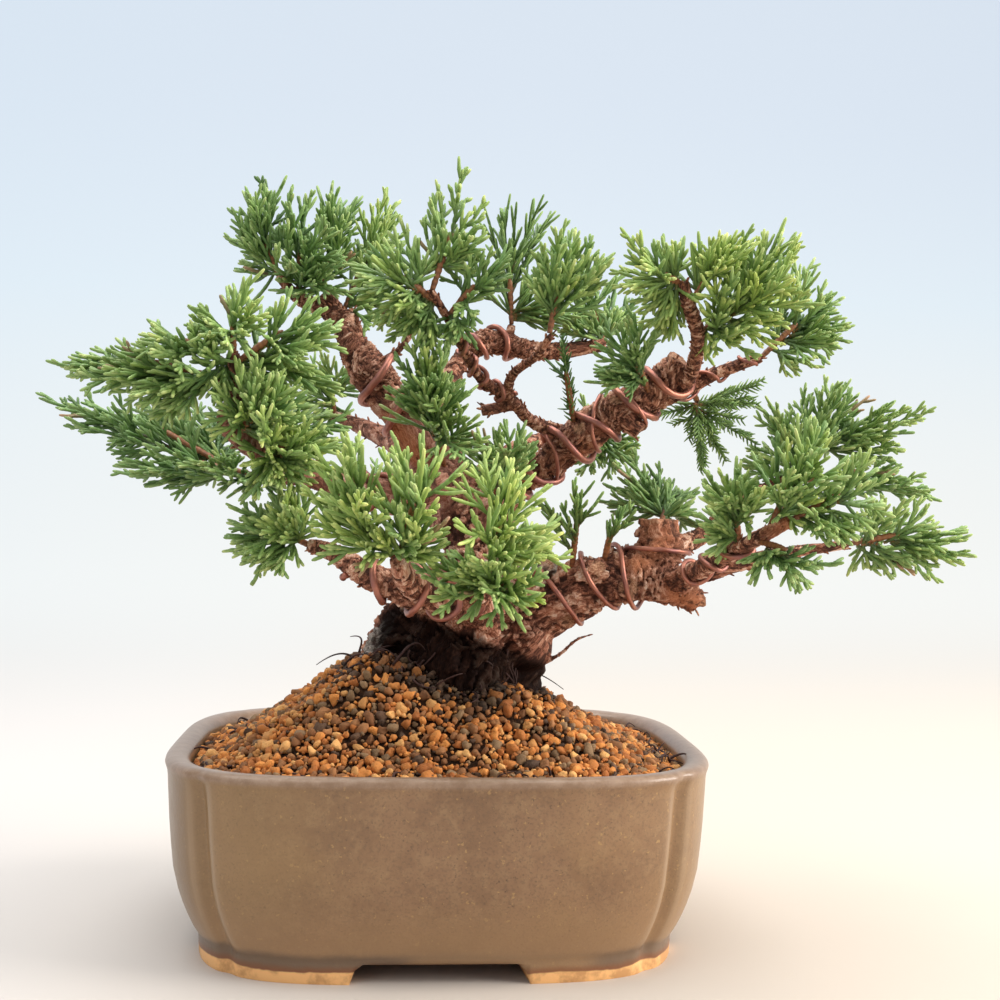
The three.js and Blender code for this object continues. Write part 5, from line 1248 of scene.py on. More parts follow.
def scatter_grains(settings, surface, heap, samples):
    """Places, radii and distances from the bark of the grains, no two closer than they can lie."""
    draw = np.random.default_rng(settings.seed)
    grid = {}
    grains = []
    half = np.array([POT_WIDTH, POT_DEPTH]) / 2 - SOIL_WALL_INSET
    for size, tries in GRAIN_SIZES:
        for _ in range(int(tries * settings.fullness)):
            x, y = draw.uniform(-half, half)
            radius = float(settings.grain_radius / MM * size * draw.uniform(0.8, 1.25))
            wall, _ = pot_plan(math.atan2(y, x), SOIL_WALL_INSET + radius * 0.5, 0)
            if math.hypot(x, y) > wall:
                continue
            column, row = int(x // GRID_STEP), int(y // GRID_STEP)
            around = [(column + i, row + j) for i in (-1, 0, 1) for j in (-1, 0, 1)]
            near = [other for cell in around for other in grid.get(cell, ())]
            if any((x - a) ** 2 + (y - b) ** 2 < (CLOSEST * (radius + r)) ** 2 for a, b, r in near):
                continue
            z = heap.height(x, y) + draw.uniform(-0.6, 0.15) * radius + 0.25 * (1 - size)
            _, _, _, distance = surface.find_nearest(Vector(in_row([x, y, z])))
            core = (np.linalg.norm(samples[:, :3] - (x, y, z), axis=1) - samples[:, 6]).min()
            if core < -1.5 or distance < radius * MM * 0.5:
                continue
            grid.setdefault((column, row), []).append((x, y, radius))
            grains.append((x, y, z, radius, distance / MM))
    return np.array(grains), draw


def grain_shapes(draw, count, detail):
    """Lumpy, slightly angular pebbles of radius 1 with the same number of points."""
    ball = bmesh.new()
    bmesh.ops.create_icosphere(ball, subdivisions=detail, radius=1.0)
    points = np.array([v.co[:] for v in ball.verts])
    triangles = np.array([[v.index for v in face.verts] for face in ball.faces])
    ball.free()
    shapes = []
    for _ in range(count):
        offset = draw.uniform(-50, 50, 3)
        lumps = np.array([noise.fractal(Vector(p * 0.95 + offset), 0.8, 2.1, 3) for p in points])
        flats = np.ones(len(points))
        for facet in unit(draw.normal(size=(12, 3))):
            reach = draw.uniform(0.6, 0.88)
            over = points @ facet
            flats = np.where(over > reach, reach / np.maximum(over, 1e-6) * flats, flats)
        shapes.append(points * (1.18 + 0.5 * lumps)[:, None] * flats[:, None])
    return np.array(shapes), triangles


def random_turns(draw, count):
    """Random rotation matrices."""
    q = unit(draw.normal(size=(count, 4)))
    w, x, y, z = q.T
    return np.stack([
        1 - 2 * (y * y + z * z), 2 * (x * y - z * w), 2 * (x * z + y * w),
        2 * (x * y + z * w), 1 - 2 * (x * x + z * z), 2 * (y * z - x * w),
        2 * (x * z - y * w), 2 * (y * z + x * w), 1 - 2 * (x * x + y * y),
    ], 1).reshape(-1, 3, 3)


# Kinds of grain: share away from the trunk, dark colour, light colour.
GRAIN_KINDS = [
    (0.46, (0.36, 0.115, 0.026), (0.72, 0.28, 0.065)),
    (0.14, (0.50, 0.22, 0.062), (0.80, 0.43, 0.15)),
    (0.23, (0.17, 0.068, 0.024), (0.38, 0.165, 0.06)),
    (0.11, (0.15, 0.088, 0.042), (0.31, 0.19, 0.096)),
    (0.06, (0.045, 0.024, 0.014), (0.12, 0.062, 0.034)),
]


def grain_colours(grains, draw):
    """A colour for each grain: orange or pale clay, brown, grey pumice or lava, darker near the trunk, where
    painted shade under the trunk and wet soil darken it.
    """
    patch = np.array([noise.noise(Vector((x * 0.07, y * 0.07, 3))) for x, y in grains[:, :2]])
    # Painted shade round the trunk's foot: grains there are darker and more often black lava.
    shade_near_trunk = rise(grains[:, 4], 7 + 5 * patch, 2 + 5 * patch)
    shares, darks, lights = (np.array(values) for values in zip(*GRAIN_KINDS))
    weights = shares * np.ones((len(grains), 1))
    weights[:, 3:] *= np.exp(1.6 * patch + 0.2)[:, None]
    weights[:, 4] *= 1 + 9 * shade_near_trunk
    weights[:, 1] *= np.exp(-1.5 * patch) * (1 - 0.7 * shade_near_trunk)
    edges = np.cumsum(weights / weights.sum(1, keepdims=True), 1)
    kinds = (draw.random((len(grains), 1)) > edges[:, :-1]).sum(1)
    mixed = darks[kinds] + (lights - darks)[kinds] * draw.random((len(grains), 1)) ** 1.3
    return mixed * (1.08 - 0.58 * shade_near_trunk[:, None])


def build_grains(settings, surface, heap):
    """The loose grains: fired clay, pumice and lava in coarse, middling and fine pieces."""
    grains, draw = scatter_grains(settings, surface, heap, limb_samples())
    colours = grain_colours(grains, draw)
    full = settings.grain_radius / MM
    material = grain_material("clay_and_lava")
    taken = np.zeros(len(grains), bool)
    for name, (least, detail) in GRAIN_BANDS.items():
        chosen = (grains[:, 3] > full * least) & ~taken
        taken |= chosen
        rows = grains[chosen]
        count = len(rows)
        shapes, triangles = grain_shapes(draw, GRAIN_SHAPES, detail)
        picked = shapes[draw.integers(0, len(shapes), count)]
        stretch = draw.uniform(0.72, 1.2, (count, 1, 3))
        turned = np.einsum("nij,nkj->nki", random_turns(draw, count), picked * stretch)
        points = rows[:, None, :3] + turned * rows[:, None, 3:4]
        faces = triangles[None] + (np.arange(count) * shapes.shape[1])[:, None, None]
        shape = points.reshape(-1, 3), np.empty((0, 4), int), faces.reshape(-1, 3)
        piece = add_piece(name, shape, material)
        store(piece, "colour", np.repeat(colours[chosen], shapes.shape[1], 0))


def strand(path, radii, sides=6):
    """A round strand along a path."""
    normals, binormals = carried_frames(unit(np.gradient(path, axis=0)))
    return tube(path, radii, normals, binormals, sides)


def build_rootlets(settings, heap):
    """Fine dark roots that show at the trunk's foot and at the pot's wall."""
    draw = np.random.default_rng(settings.seed + 5)
    strands = []
    s = np.linspace(0, 1, ROOTLET_RINGS)[:, None]
    for number in range(LOOSE_ROOTLETS + TANGLED_ROOTLETS):
        tangle = number >= LOOSE_ROOTLETS
        by_wall = tangle or number % 3 == 0
        angle = draw.normal(TANGLE_ANGLE, 0.07) if tangle else draw.uniform(0, 2 * math.pi)
        reach = draw.uniform(0.9, 0.965) if by_wall else draw.uniform(0.27, 0.46)
        radius, _ = pot_plan(angle, SOIL_WALL_INSET, 0)
        x, y = radius * reach * math.cos(angle), radius * reach * math.sin(angle)
        start = np.array([x, y, heap.height(x, y) + 0.5])
        inward = unit(np.array([-x, -y, 0]))
        way = draw.normal(size=3) * [1, 1, 0] + inward * (0.2 if by_wall else 0.7)
        way = unit(way + UP * draw.uniform(0.1, 0.8))
        length = draw.uniform(3, 7) if by_wall else draw.uniform(4, 13)
        sway = unit(draw.normal(size=3)) * length * 0.22
        path = start + way * s * length + sway * np.sin(s * 3.1) - UP * s**2 * length * 0.4
        floor = np.array([heap.height(a, b) for a, b in path[:, :2]]) - 0.1
        path[:, 2] = np.maximum(path[:, 2], floor)
        strands.append(strand(path, np.linspace(draw.uniform(0.2, 0.42), ROOTLET_TIP, ROOTLET_RINGS)))
    for _ in range(TRUNK_ROOTLETS):
        turn = draw.uniform(-2.4, 0.5) + draw.uniform(-0.3, 0.3) * s
        turn = turn + draw.uniform(0.02, 0.09) * np.sin(draw.uniform(4, 9) * s + draw.uniform(0, 6))
        top, drop = draw.uniform(67, 76), draw.uniform(6, 12)
        x = TRUNK_AXIS[0] + TRUNK_REACH[0] * np.cos(turn)
        y = TRUNK_AXIS[1] + TRUNK_REACH[1] * np.sin(turn)
        path = np.hstack([x, y, top - drop * s])
        strands.append(strand(path, np.linspace(0.26, ROOTLET_TIP, ROOTLET_RINGS)))
    f = Finish("rootlet_skin", Roughness=0.7)
    f.colour(f.mix(f.noise(f.place(), 120, 2, 0.5), (0.010, 0.004, 0.003), (0.07, 0.018, 0.010)))
    add_piece("rootlets", gather(strands), f.material)


# ---------------------------------------------------------------- foliage


class Cords:
    """Round, scaly cords, gathered and then built as one mesh."""

    def __init__(self):
        self.rows = []

    def add(self, start, way, length, bend, radius, tint, v0, v1, tip=0.8):
        """A cord from start; bend is how far its end is off the straight line, tip how thick it ends."""
        self.rows.append(np.concatenate([start, way, bend, [length, radius, tint, v0, v1, tip]]))

    def build(self, step, sides):
        """Points and faces of all the cords, and the tint places of their points."""
        rows = np.array(self.rows)
        counts = np.clip((rows[:, 9] / step).astype(int) // 2 * 2 + 3, 5, 41)
        pieces = []
        tints = []
        for count in np.unique(counts):
            group = rows[counts == count]
            points, uv = cord_rings(group, int(count), sides)
            quads, caps = ring_faces(int(count), sides), end_fans(sides, int(count))
            offsets = (np.arange(len(group)) * points.shape[1])[:, None, None]
            faces = (quads + offsets).reshape(-1, 4), (caps + offsets).reshape(-1, 3)
            pieces.append((points.reshape(-1, 3), *faces))
            tints.append(uv.reshape(-1, 2))
        return gather(pieces), np.vstack(tints)


def cord_rings(group, count, sides):
    """Points and tint places of cords with the same number of rings: each scale flares towards the tip."""
    start, way, bend = group[:, 0:3], group[:, 3:6], group[:, 6:9]
    length, radius, tint, v0, v1, end = group[:, 9:].T
    s = np.repeat(np.linspace(0, 1, count)[None], len(group), 0)
    s[:, -2] = np.maximum(1 - 0.75 * radius / length, (s[:, -3] + 1) / 2)
    s = s[..., None]
    centre = start[:, None] + way[:, None] * s * length[:, None, None] + bend[:, None] * s**2
    tangent = unit(way[:, None] * length[:, None, None] + 2 * bend[:, None] * s)
    helper = np.where(np.abs(way[:, 2:3]) < 0.9, [[0, 0, 1.0]], [[1.0, 0, 0]])
    side = unit(np.cross(tangent, helper[:, None]))
    up = np.cross(side, tangent)
    ring = np.arange(count)
    flare = np.where(ring % 2 == 1, 1.05, 0.95)
    flare[-2:] = 0.94, 0.66
    thin_start = 0.84 + 0.32 * s[..., 0]
    thin_end = 1 - (1 - end[:, None]) * (2 * s[..., 0] - 1) ** 3
    shape = flare[None] * np.where(s[..., 0] < 0.5, thin_start, thin_end)
    size = radius[:, None] * shape
    turn = circle(sides)[None] + (ring // 2)[:, None] * math.pi / sides
    out = side[:, :, None] * np.cos(turn)[None, ..., None] + up[:, :, None] * np.sin(turn)[None, ..., None]
    points = centre[:, :, None] + out * size[..., None, None]
    tip = centre[:, -1] + tangent[:, -1] * (radius * 0.42 * end)[:, None]
    points = np.concatenate([points.reshape(len(group), -1, 3), centre[:, :1], tip[:, None]], 1)
    v = v0[:, None] + (v1 - v0)[:, None] * s[..., 0] + np.where(ring % 2 == 1, 0.04, -0.03)[None]
    v = np.repeat(v, sides, 1)
    v = np.clip(np.concatenate([v, v0[:, None], v1[:, None]], 1), 0.005, 0.995)
    u = np.repeat(tint[:, None], v.shape[1], 1)
    return points, np.stack([u, v], -1)


UP = np.array([0, 0, 1.0])
BROWN_TIP = 0.03  # tint of a cord that has turned brown
BROWN_SHARE = 0.008
FILLER_SHARE = 0.75
FROND_SHARE = 0.5
DEEPEST_FORK = 2
SHORTEST_FORKED = 3.6
NEEDLE_STEP = 1.36  # along the axis, from one pair to the next
NEEDLE_RADIUS = 0.27
TWIGLET_RADIUS = 0.34
STEM = (0.85, 0.5, 0.03, 0.1)  # radius, tint, and the greens' places at its start and end
CORD_STEP = 0.75
CORD_SIDES = 6
SPARE = 0.02  # part of the frame's box by which a tip may go past it


def across(axis):
    """Two directions square to an axis."""
    side = unit(np.cross(axis, UP if abs(axis[2]) < 0.9 else np.array([1.0, 0, 0])))
    return side, np.cross(side, axis)


def sideways(axis, lean, turn):
    """A direction at an angle to the axis, turned about it."""
    return swung(axis, swung(*across(axis), turn), lean)


def stem_point(start, end, at):
    """A place on a stem that sags a little."""
    middle = (start + end) / 2 - UP * 0.04 * np.linalg.norm(end - start)
    return start * (1 - at) ** 2 + 2 * middle * at * (1 - at) + end * at**2


class Grower:
    """Grows sprays of foliage around the wood."""

    def __init__(self, settings, samples, draw):
        self.samples = samples
        self.draw = draw
        self.radius = settings.cord_radius / MM
        self.spacing = settings.branchlet_spacing / MM
        self.cords = Cords()

    def in_wood(self, root, reach):
        """Whether a cord would run into a limb half way or at its end."""
        points = root + reach * np.array([[0.5], [1.0]])
        gap = np.linalg.norm(points[:, None] - self.samples[None, :, :3], axis=2) - self.samples[None, :, 6]
        return bool((gap < -0.2).any())

    def tint(self, around, spread):
        """A tint close to the shoot's own, or now and then a brown one."""
        if self.draw.random() < BROWN_SHARE:
            return BROWN_TIP
        return float(np.clip(around + self.draw.normal(0, spread), 0.12, 0.99))

    def fork(self, root, way, size, bend, tint, base, depth):
        """A cord with shorter ones that fork from it."""
        draw, between = self.draw, self.draw.uniform
        radius = self.radius * (1 - 0.06 * depth)
        self.cords.add(root, way, size, bend, radius, tint, base, between(0.66, 1.0))
        if depth == DEEPEST_FORK or size < SHORTEST_FORKED or tint == BROWN_TIP:
            return
        count = int(draw.integers(1, 5)) if depth == 0 else int(draw.random() < 0.45)
        side, up = across(way)
        turn = between(0, 2 * math.pi)
        for number in range(count):
            at = 0.2 + 0.66 * (number + between(0, 0.9)) / count
            spot = root + way * size * at + bend * at * at
            heading = unit(way * size + 2 * bend * at)
            turned = unit(swung(heading, swung(side, up, turn), between(0.45, 0.9)))
            length = max(1.6, size * (1 - 0.75 * at) * between(0.4, 0.9))
            curl = (heading * 0.34 + UP * 0.08) * length
            self.fork(spot, turned, length, curl, tint, base + 0.14, depth + 1)
            turn += math.pi * between(0.7, 1.3)

    def tuft(self, start, tip, reach, tint):
        """Long round cords that lean forward from a core on all sides and fork once or twice."""
        draw, between = self.draw, self.draw.uniform
        way = unit(tip - start)
        length = max(3.0, np.linalg.norm(tip - start) - 0.66 * reach)
        sway = sideways(way, math.pi / 2, between(0, 6.28)) * length * between(0.03, 0.12)
        core = unit(way - sway / length)
        self.cords.add(start, core, length, sway, self.radius, tint, 0.12, 0.85)
        count = max(5, int(round(length / self.spacing)))
        turn = between(0, 2 * math.pi)
        for k in range(count):
            u = 0.08 + 0.92 * (k + between(0, 0.8)) / count
            root = start + core * length * u + sway * u * u
            heading = sideways(way, 1.0 - 0.66 * u + between(-0.34, 0.34), turn + k * GOLDEN_ANGLE)
            heading = unit(heading + UP * 0.16)
            size = reach * between(0.5, 1.3) * (1.15 - 0.5 * u)
            if self.in_wood(root, heading * size):
                continue
            bend = (way * 0.16 + UP * 0.16) * size + draw.normal(0, 0.06, 3) * size
            self.fork(root, heading, size, bend, self.tint(tint, 0.09), 0.2 + 0.2 * u, 0)

    def frond(self, start, tip, reach, tint):
        """A flatter spray: an axis with cords on both sides, which carry short ones themselves."""
        draw, between = self.draw, self.draw.uniform
        way = unit(tip - start)
        length = max(3.0, np.linalg.norm(tip - start) - 0.4 * reach)
        sway = UP * length * between(-0.06, 0.08)
        core = unit(way - sway / length)
        self.cords.add(start, core, length, sway, self.radius, tint, 0.14, 0.95)
        side, up = across(way)
        tilt = between(-0.7, 0.7)
        count = max(6, int(round(length / self.spacing)))
        for k in range(count):
            u = 0.08 + 0.88 * (k + between(0, 0.5)) / count
            root = start + core * length * u + sway * u * u
            hand = 1 if k % 2 else -1
            roll = tilt + draw.normal(0, 0.5)
            out = swung(side, up, roll) * hand
            heading = unit(swung(way, out, 0.88 - 0.42 * u + between(-0.1, 0.1)))
            size = reach * between(0.7, 1.4) * (1.12 - 0.62 * u)
            if self.in_wood(root, heading * size):
                continue
            own = self.tint(tint, 0.06)
            bend = (way * 0.2 + UP * 0.05) * size
            base = 0.22 + 0.25 * u
            self.cords.add(root, heading, size, bend, self.radius * 0.92, own, base, between(0.7, 1.0))
            shorter = int(size / 2.3)
            for j in range(shorter):
                at = 0.2 + 0.7 * (j + between(0, 0.6)) / shorter
                spot = root + heading * size * at + bend * at * at
                onward, lean = unit(heading * size + 2 * bend * at), between(0.45, 0.7)
                turned = sideways(onward, lean, roll + j * math.pi + between(-0.5, 0.5))
                short = size * between(0.32, 0.66) * (1.15 - 0.6 * at)
                self.cords.add(spot, turned, max(1.3, short), heading * 0.2 * short, self.radius * 0.85, own,
                               0.45 + 0.25 * u, between(0.7, 1.0))

    def sparse(self, start, tip, reach, tint):
        """A bare sprig: an axis with a few single cords well apart."""
        between = self.draw.uniform
        length = np.linalg.norm(tip - start)
        way = (tip - start) / length
        self.cords.add(start, way, length, way * 0, self.radius * 0.9, tint, 0.1, 0.7)
        count = max(2, int(length / (2.5 if reach < 6 else 1.5)))
        for k in range(count):
            at = 0.2 + 0.75 * k / count
            heading = sideways(way, between(0.45, 0.75), k * math.pi + between(-0.9, 0.9))
            size = reach * between(0.5, 1.1)
            root, bend = start + way * length * at, way * size * 0.2
            self.cords.add(root, heading, size, bend, self.radius * 0.8, tint, 0.25, between(0.5, 0.9))

    def feather(self, start, tip, reach, tint):
        """Young foliage: thin axes set with short pointed needles in two ranks."""
        between = self.draw.uniform
        length = np.linalg.norm(tip - start)
        way = (tip - start) / length
        axes = [(start, way, length)]
        self.cords.add(start, way, length, UP * 0.4, 0.4, tint, 0.12, 0.55)
        count = max(1, int(length / 5.5))
        for k in range(count):
            u = 0.15 + 0.7 * k / count
            heading = sideways(way, between(0.5, 0.8), k * math.pi + between(-0.4, 0.4))
            size = reach * between(0.7, 1.1) * (1.1 - 0.4 * u)
            root = start + way * length * u
            self.cords.add(root, heading, size, way * size * 0.15, TWIGLET_RADIUS, tint, 0.25, 0.6)
            axes.append((root, heading, size))
        for root, heading, size in axes:
            plane = between(0, math.pi)
            for j in range(int(size / (NEEDLE_STEP / 2))):
                at = (j // 2 + 0.6) * NEEDLE_STEP
                lean = between(0.7, 0.95)
                out = sideways(heading, lean, plane + j * math.pi + between(-0.25, 0.25))
                needle = between(2.2, 3.6) * (1.05 - 0.45 * at / size)
                self.cords.add(root + heading * at, out, needle, heading * needle * 0.2, NEEDLE_RADIUS, tint,
                               0.4, between(0.65, 0.95), 0.2)


def with_fillers(sprays, draw):
    """The listed sprays, and others between one and the next."""
    rows = [np.array(row, float) for row in sprays]
    filled = list(rows)
    for a, b in zip(rows, rows[1:] + rows[:1]):
        if draw.random() > FILLER_SHARE:
            continue
        share = draw.uniform(0.35, 0.65)
        between = a * share + b * (1 - share)
        between[1:4] += draw.normal(0, 1.3, 3)
        between[0] = max(0.1, between[0] - draw.uniform(0.02, 0.25))
        filled.append(between)
    return filled


def build_foliage(settings):
    """One piece for each leafy shoot, standing for its node."""
    samples = limb_samples()
    material = foliage_material(settings)
    low, high = (np.array(corner) for corner in CAD_BOX)
    spare = (high - low) * SPARE
    for number, (name, (start, end, tint, sprays)) in enumerate(SHOOTS.items()):
        draw = np.random.default_rng(settings.seed + number)
        grower = Grower(settings, samples, draw)
        start, end = np.array(start, float), np.array(end, float)
        length = np.linalg.norm(end - start)
        sag = UP * 0.16 * length
        grower.cords.add(start, unit(end - start + sag), length, -sag * 0.2, *STEM)
        kinds = ((FEATHERY, grower.feather), (SPARSE, grower.sparse), (FLAT, grower.frond))
        grow = next((kind for names, kind in kinds if name in names), grower.tuft)
        for at, x, y, z, reach in with_fillers(sprays, draw):
            root = stem_point(start, end, at * 0.9)
            way = grower.frond if grow == grower.tuft and draw.random() < FROND_SHARE else grow
            way(root, np.array([x, y, z]), reach, float(np.clip(tint + draw.normal(0, 0.05), 0.12, 1)))
        (points, quads, caps), uv = grower.cords.build(CORD_STEP, CORD_SIDES)
        placed = np.clip(in_row(points), low - spare, high + spare)
        piece = new_object("foliage_" + name, placed, quads, caps)
        layer = piece.data.uv_layers.new(name="OFBake")
        corners = np.empty(len(piece.data.loops), np.int32)
        piece.data.loops.foreach_get("vertex_index", corners)
        layer.data.foreach_set("uv", uv[corners].astype(np.float32).ravel())
        dress(piece, material, ["shoot_" + name])


# ---------------------------------------------------------------- stage

# The camera of the reference view, in metres and radians.
CAMERA_PLACE = (-0.02803, -0.39580, 0.11334)
CAMERA_YAW = math.radians(4.2)
CAMERA_PITCH = 0.001
CAMERA_ROLL = 0.0165
SENSOR = 36.0
NEAREST_SEEN = 0.01

# Softboxes that look at the tree: place, size, share of the light and colour.
SOFTBOXES = {
    "overhead": ((-0.1, 0.05, 1.0), (1.2, 1.0), 1.05, (1.0, 0.99, 0.97)),
    "front_left": ((-0.8, -0.9, 0.6), (0.8, 0.7), 0.17, (1.0, 0.98, 0.95)),
    "right": ((1.0, -0.25, 0.5), (0.7, 0.7), 1.24, (1.0, 0.955, 0.89)),
}
LIT_PLACE = (0, 0, 0.1)

# The floor's section from front to back, y and z in metres, and the backdrop's glow by height.
FLOOR_SECTION = (
    (-1.2, 0.0), (0.5, 0.0), (0.8, 0.01), (1.05, 0.06), (1.22, 0.16), (1.32, 0.32), (1.36, 0.6), (1.38, 1.8),
)
FLOOR_HALF_WIDTH = 2.6
GLOW = ((0.0, (0.83, 0.84, 0.815)), (0.2, (0.79, 0.83, 0.835)), (0.6, (0.69, 0.79, 0.865)))
GLOW_HEIGHT = 0.62
LEFT_GLOW = (0.66, 0.79, 0.90)
# Floor colour on the left: painted cooler light.
LEFT_COOL_LIGHT_FLOOR = (0.575, 0.54, 0.515)
FAR_FLOOR = (0.12, 0.12, 0.12)
FILL_COLOUR = (0.86, 0.92, 1.0)


def add_camera(settings):
    """The camera of the reference view."""
    camera = add_object("camera", bpy.data.cameras.new("camera"))
    camera.data.lens = settings.lens
    camera.data.sensor_width = SENSOR
    camera.data.clip_start = NEAREST_SEEN
    ahead = Vector((math.sin(CAMERA_YAW), math.cos(CAMERA_YAW), 0))
    right = Vector((ahead.y, -ahead.x, 0))
    forward = swung(ahead, Vector((0, 0, 1)), CAMERA_PITCH)
    up = right.cross(forward)
    columns = (swung(right, up, CAMERA_ROLL), swung(up, -right, CAMERA_ROLL), -forward, CAMERA_PLACE)
    matrix = camera.matrix_world.copy()
    for number, column in enumerate(columns):
        for row in range(3):
            matrix[row][number] = column[row]
    camera.matrix_world = matrix
    bpy.context.scene.camera = camera


def add_softbox(name, place, size, power, colour):
    """A soft rectangular light."""
    light = bpy.data.lights.new(name, "AREA")
    light.shape = "RECTANGLE"
    light.size, light.size_y = size
    light.energy = power
    light.color = colour
    box = add_object(name, light)
    box.location = place
    box.rotation_euler = (Vector(LIT_PLACE) - Vector(place)).to_track_quat("-Z", "Y").to_euler()


def floor_material(settings):
    """Pale and warm under the pot, greyer to the left as painted cool light, turning into a backdrop with a
    glow of its own.
    """
    f = Finish("pale_floor", Roughness=0.85, Specular_IOR_Level=0.1)
    x, y, height = f.separate(f.place())
    # Painted cool light on the left of the floor.
    close = f.mix(f.below(x, -0.2, 0.1), settings.floor_colour, LEFT_COOL_LIGHT_FLOOR)
    far = f.grey(y, 0.1, 1.0)
    f.colour(f.mix(far, close, FAR_FLOOR))
    glow = f.ramp(f.grey(height, 0.0, GLOW_HEIGHT), [*GLOW, (1.0, settings.sky_colour)])
    f.link(f.layer(glow, LEFT_GLOW, f.below(x, -0.9, 0.1), 0.45), f.shader.inputs["Emission Color"])
    f.link(f.times(far, settings.backdrop_glow), f.shader.inputs["Emission Strength"])
    return f.material


def build_stage(settings):
    """A pale floor that curves up into a backdrop, soft lights and the camera."""
    points = np.array([[x, y, z] for y, z in FLOOR_SECTION for x in (-FLOOR_HALF_WIDTH, FLOOR_HALF_WIDTH)])
    quads = np.array([[2 * k, 2 * k + 1, 2 * k + 3, 2 * k + 2] for k in range(len(FLOOR_SECTION) - 1)])
    floor = new_object("studio_floor", points, quads, np.empty((0, 3), int))
    smooth = floor.modifiers.new("curve", "SUBSURF")
    smooth.levels = 3
    smooth.render_levels = 3
    floor.data.materials.append(floor_material(settings))
    world = bpy.data.worlds.new("studio")
    world.use_nodes = True
    background = world.node_tree.nodes["Background"]
    background.inputs["Color"].default_value = (*FILL_COLOUR, 1)
    background.inputs["Strength"].default_value = settings.fill
    bpy.context.scene.world = world
    for name, (place, size, share, colour) in SOFTBOXES.items():
        add_softbox(name, place, size, settings.light * share, colour)
    add_camera(settings)
    bpy.context.scene.view_settings.view_transform = "Standard"


# ---------------------------------------------------------------- settings


def colour_setting(name, description, default):
    """A colour that a user can change."""
    return FloatVectorProperty(
        name=name, description=description, subtype="COLOR", min=0, max=1, default=default,
    )


def length_setting(name, description, default, least, most):
    """A length in metres that a user can change."""
    return FloatProperty(name=name, description=description, default=default, min=least, max=most,
                         subtype="DISTANCE", unit="LENGTH", precision=5)


def share_setting(name, description, default, least, most):
    """A strength that a user can change."""
    return FloatProperty(
        name=name, description=description, default=default, min=least, max=most, subtype="FACTOR",
    )


class BonsaiPotSettings(PropertyGroup):
    dark_glaze: colour_setting("Dark glaze", "Glaze where it lies thick", (0.200, 0.107, 0.052))
    light_glaze: colour_setting("Light glaze", "Glaze where it lies thin", (0.280, 0.156, 0.080))
    edge_colour: colour_setting("Edges", "Glaze that breaks over an edge", (0.38, 0.265, 0.165))
    lip_colour: colour_setting("Lip", "Glaze on top of the lip", (0.235, 0.145, 0.09))
    clay_colour: colour_setting("Clay", "Unglazed clay of the feet", (0.90, 0.50, 0.20))


class BonsaiSoilSettings(PropertyGroup):
    grain_radius: length_setting("Grain radius", "Radius of an ordinary grain", 0.00138, 0.0008, 0.003)
    fullness: share_setting("Fullness", "How hard the grains are packed", 1.0, 0.2, 2)
    seed: IntProperty(name="Seed", description="Seed of the grains' places and shapes", default=11, min=0)


class BonsaiWoodSettings(PropertyGroup):
    skin_step: length_setting("Skin step", "Size of a face of the bark", 0.00049, 0.0003, 0.002)
    relief: share_setting("Relief", "Strength of the bark's plates and cracks", 1.0, 0, 2)
    crack_and_shade_colour: colour_setting("Cracks", "Bark in the cracks", (0.042, 0.015, 0.0095))
    dark_bark: colour_setting("Dark bark", "Bark in the furrows", (0.17, 0.062, 0.037))
    light_bark: colour_setting("Light bark", "Bark on the ridges", (0.42, 0.172, 0.103))
    flake_colour: colour_setting("Flakes", "Pale edges of flaking bark", (0.66, 0.38, 0.26))
    dead_wood: colour_setting("Dead wood", "Bleached dead wood", (0.42, 0.36, 0.31))


class BonsaiWireSettings(PropertyGroup):
    wire_colour: colour_setting("Wire", "Anodised surface", (0.42, 0.17, 0.115))
    worn_colour: colour_setting("Worn wire", "Duller stretches", (0.27, 0.115, 0.10))


class BonsaiFoliageSettings(PropertyGroup):
    cord_radius: length_setting("Cord radius", "Radius of a scaly cord", 0.00052, 0.0003, 0.001)
    branchlet_spacing: length_setting("Branchlet spacing", "Distance between branchlets on a spray",
                                      0.00205, 0.0008, 0.004)
    inner_green: colour_setting("Inner green", "Shaded base of the cords", (0.056, 0.104, 0.026))
    leaf_green: colour_setting("Leaf green", "Middle of the cords", (0.180, 0.300, 0.078))
    young_green: colour_setting("Young green", "Last third of the cords", (0.325, 0.440, 0.135))
    tip_green: colour_setting("Tip green", "Tips of the cords", (0.53, 0.61, 0.24))
    seed: IntProperty(name="Seed", description="Seed of the shoots", default=400, min=0)


class BonsaiStageSettings(PropertyGroup):
    lens: FloatProperty(
        name="Lens", description="Focal length", default=54.0, min=20, max=200, unit="CAMERA",
    )
    light: FloatProperty(
        name="Light", description="Power of the softboxes", default=14.5, min=0, unit="POWER",
    )
    fill: share_setting("Fill", "Strength of the light from all round", 0.42, 0, 3)
    backdrop_glow: share_setting("Backdrop glow", "Light of the backdrop itself", 0.92, 0, 3)
    floor_colour: colour_setting("Floor", "The floor under the pot", (0.575, 0.505, 0.435))
    sky_colour: colour_setting("Backdrop", "Top of the backdrop", (0.63, 0.72, 0.83))


# ---------------------------------------------------------------- operators

finished = {}  # what later steps look up instead of building it again


def bark_surface():
    """The finished bark, for what lies on it."""
    if "bark" not in finished:
        wood = bpy.data.objects["trunk_and_limbs"]
        finished["bark"] = BVHTree.FromObject(wood, bpy.context.evaluated_depsgraph_get())
    return finished["bark"]


class BONSAI_OT_wood(Operator):
    """Build the trunk, limbs and roots"""
    bl_idname = "bonsai.wood"
    bl_label = "Wood"

    def execute(self, context):
        build_wood(context.scene.bonsai_wood)
        return {"FINISHED"}


class BONSAI_OT_wires(Operator):
    """Build the training wires on the bark"""
    bl_idname = "bonsai.wires"
    bl_label = "Training wires"

    def execute(self, context):
        build_wires(context.scene.bonsai_wires, bark_surface())
        return {"FINISHED"}


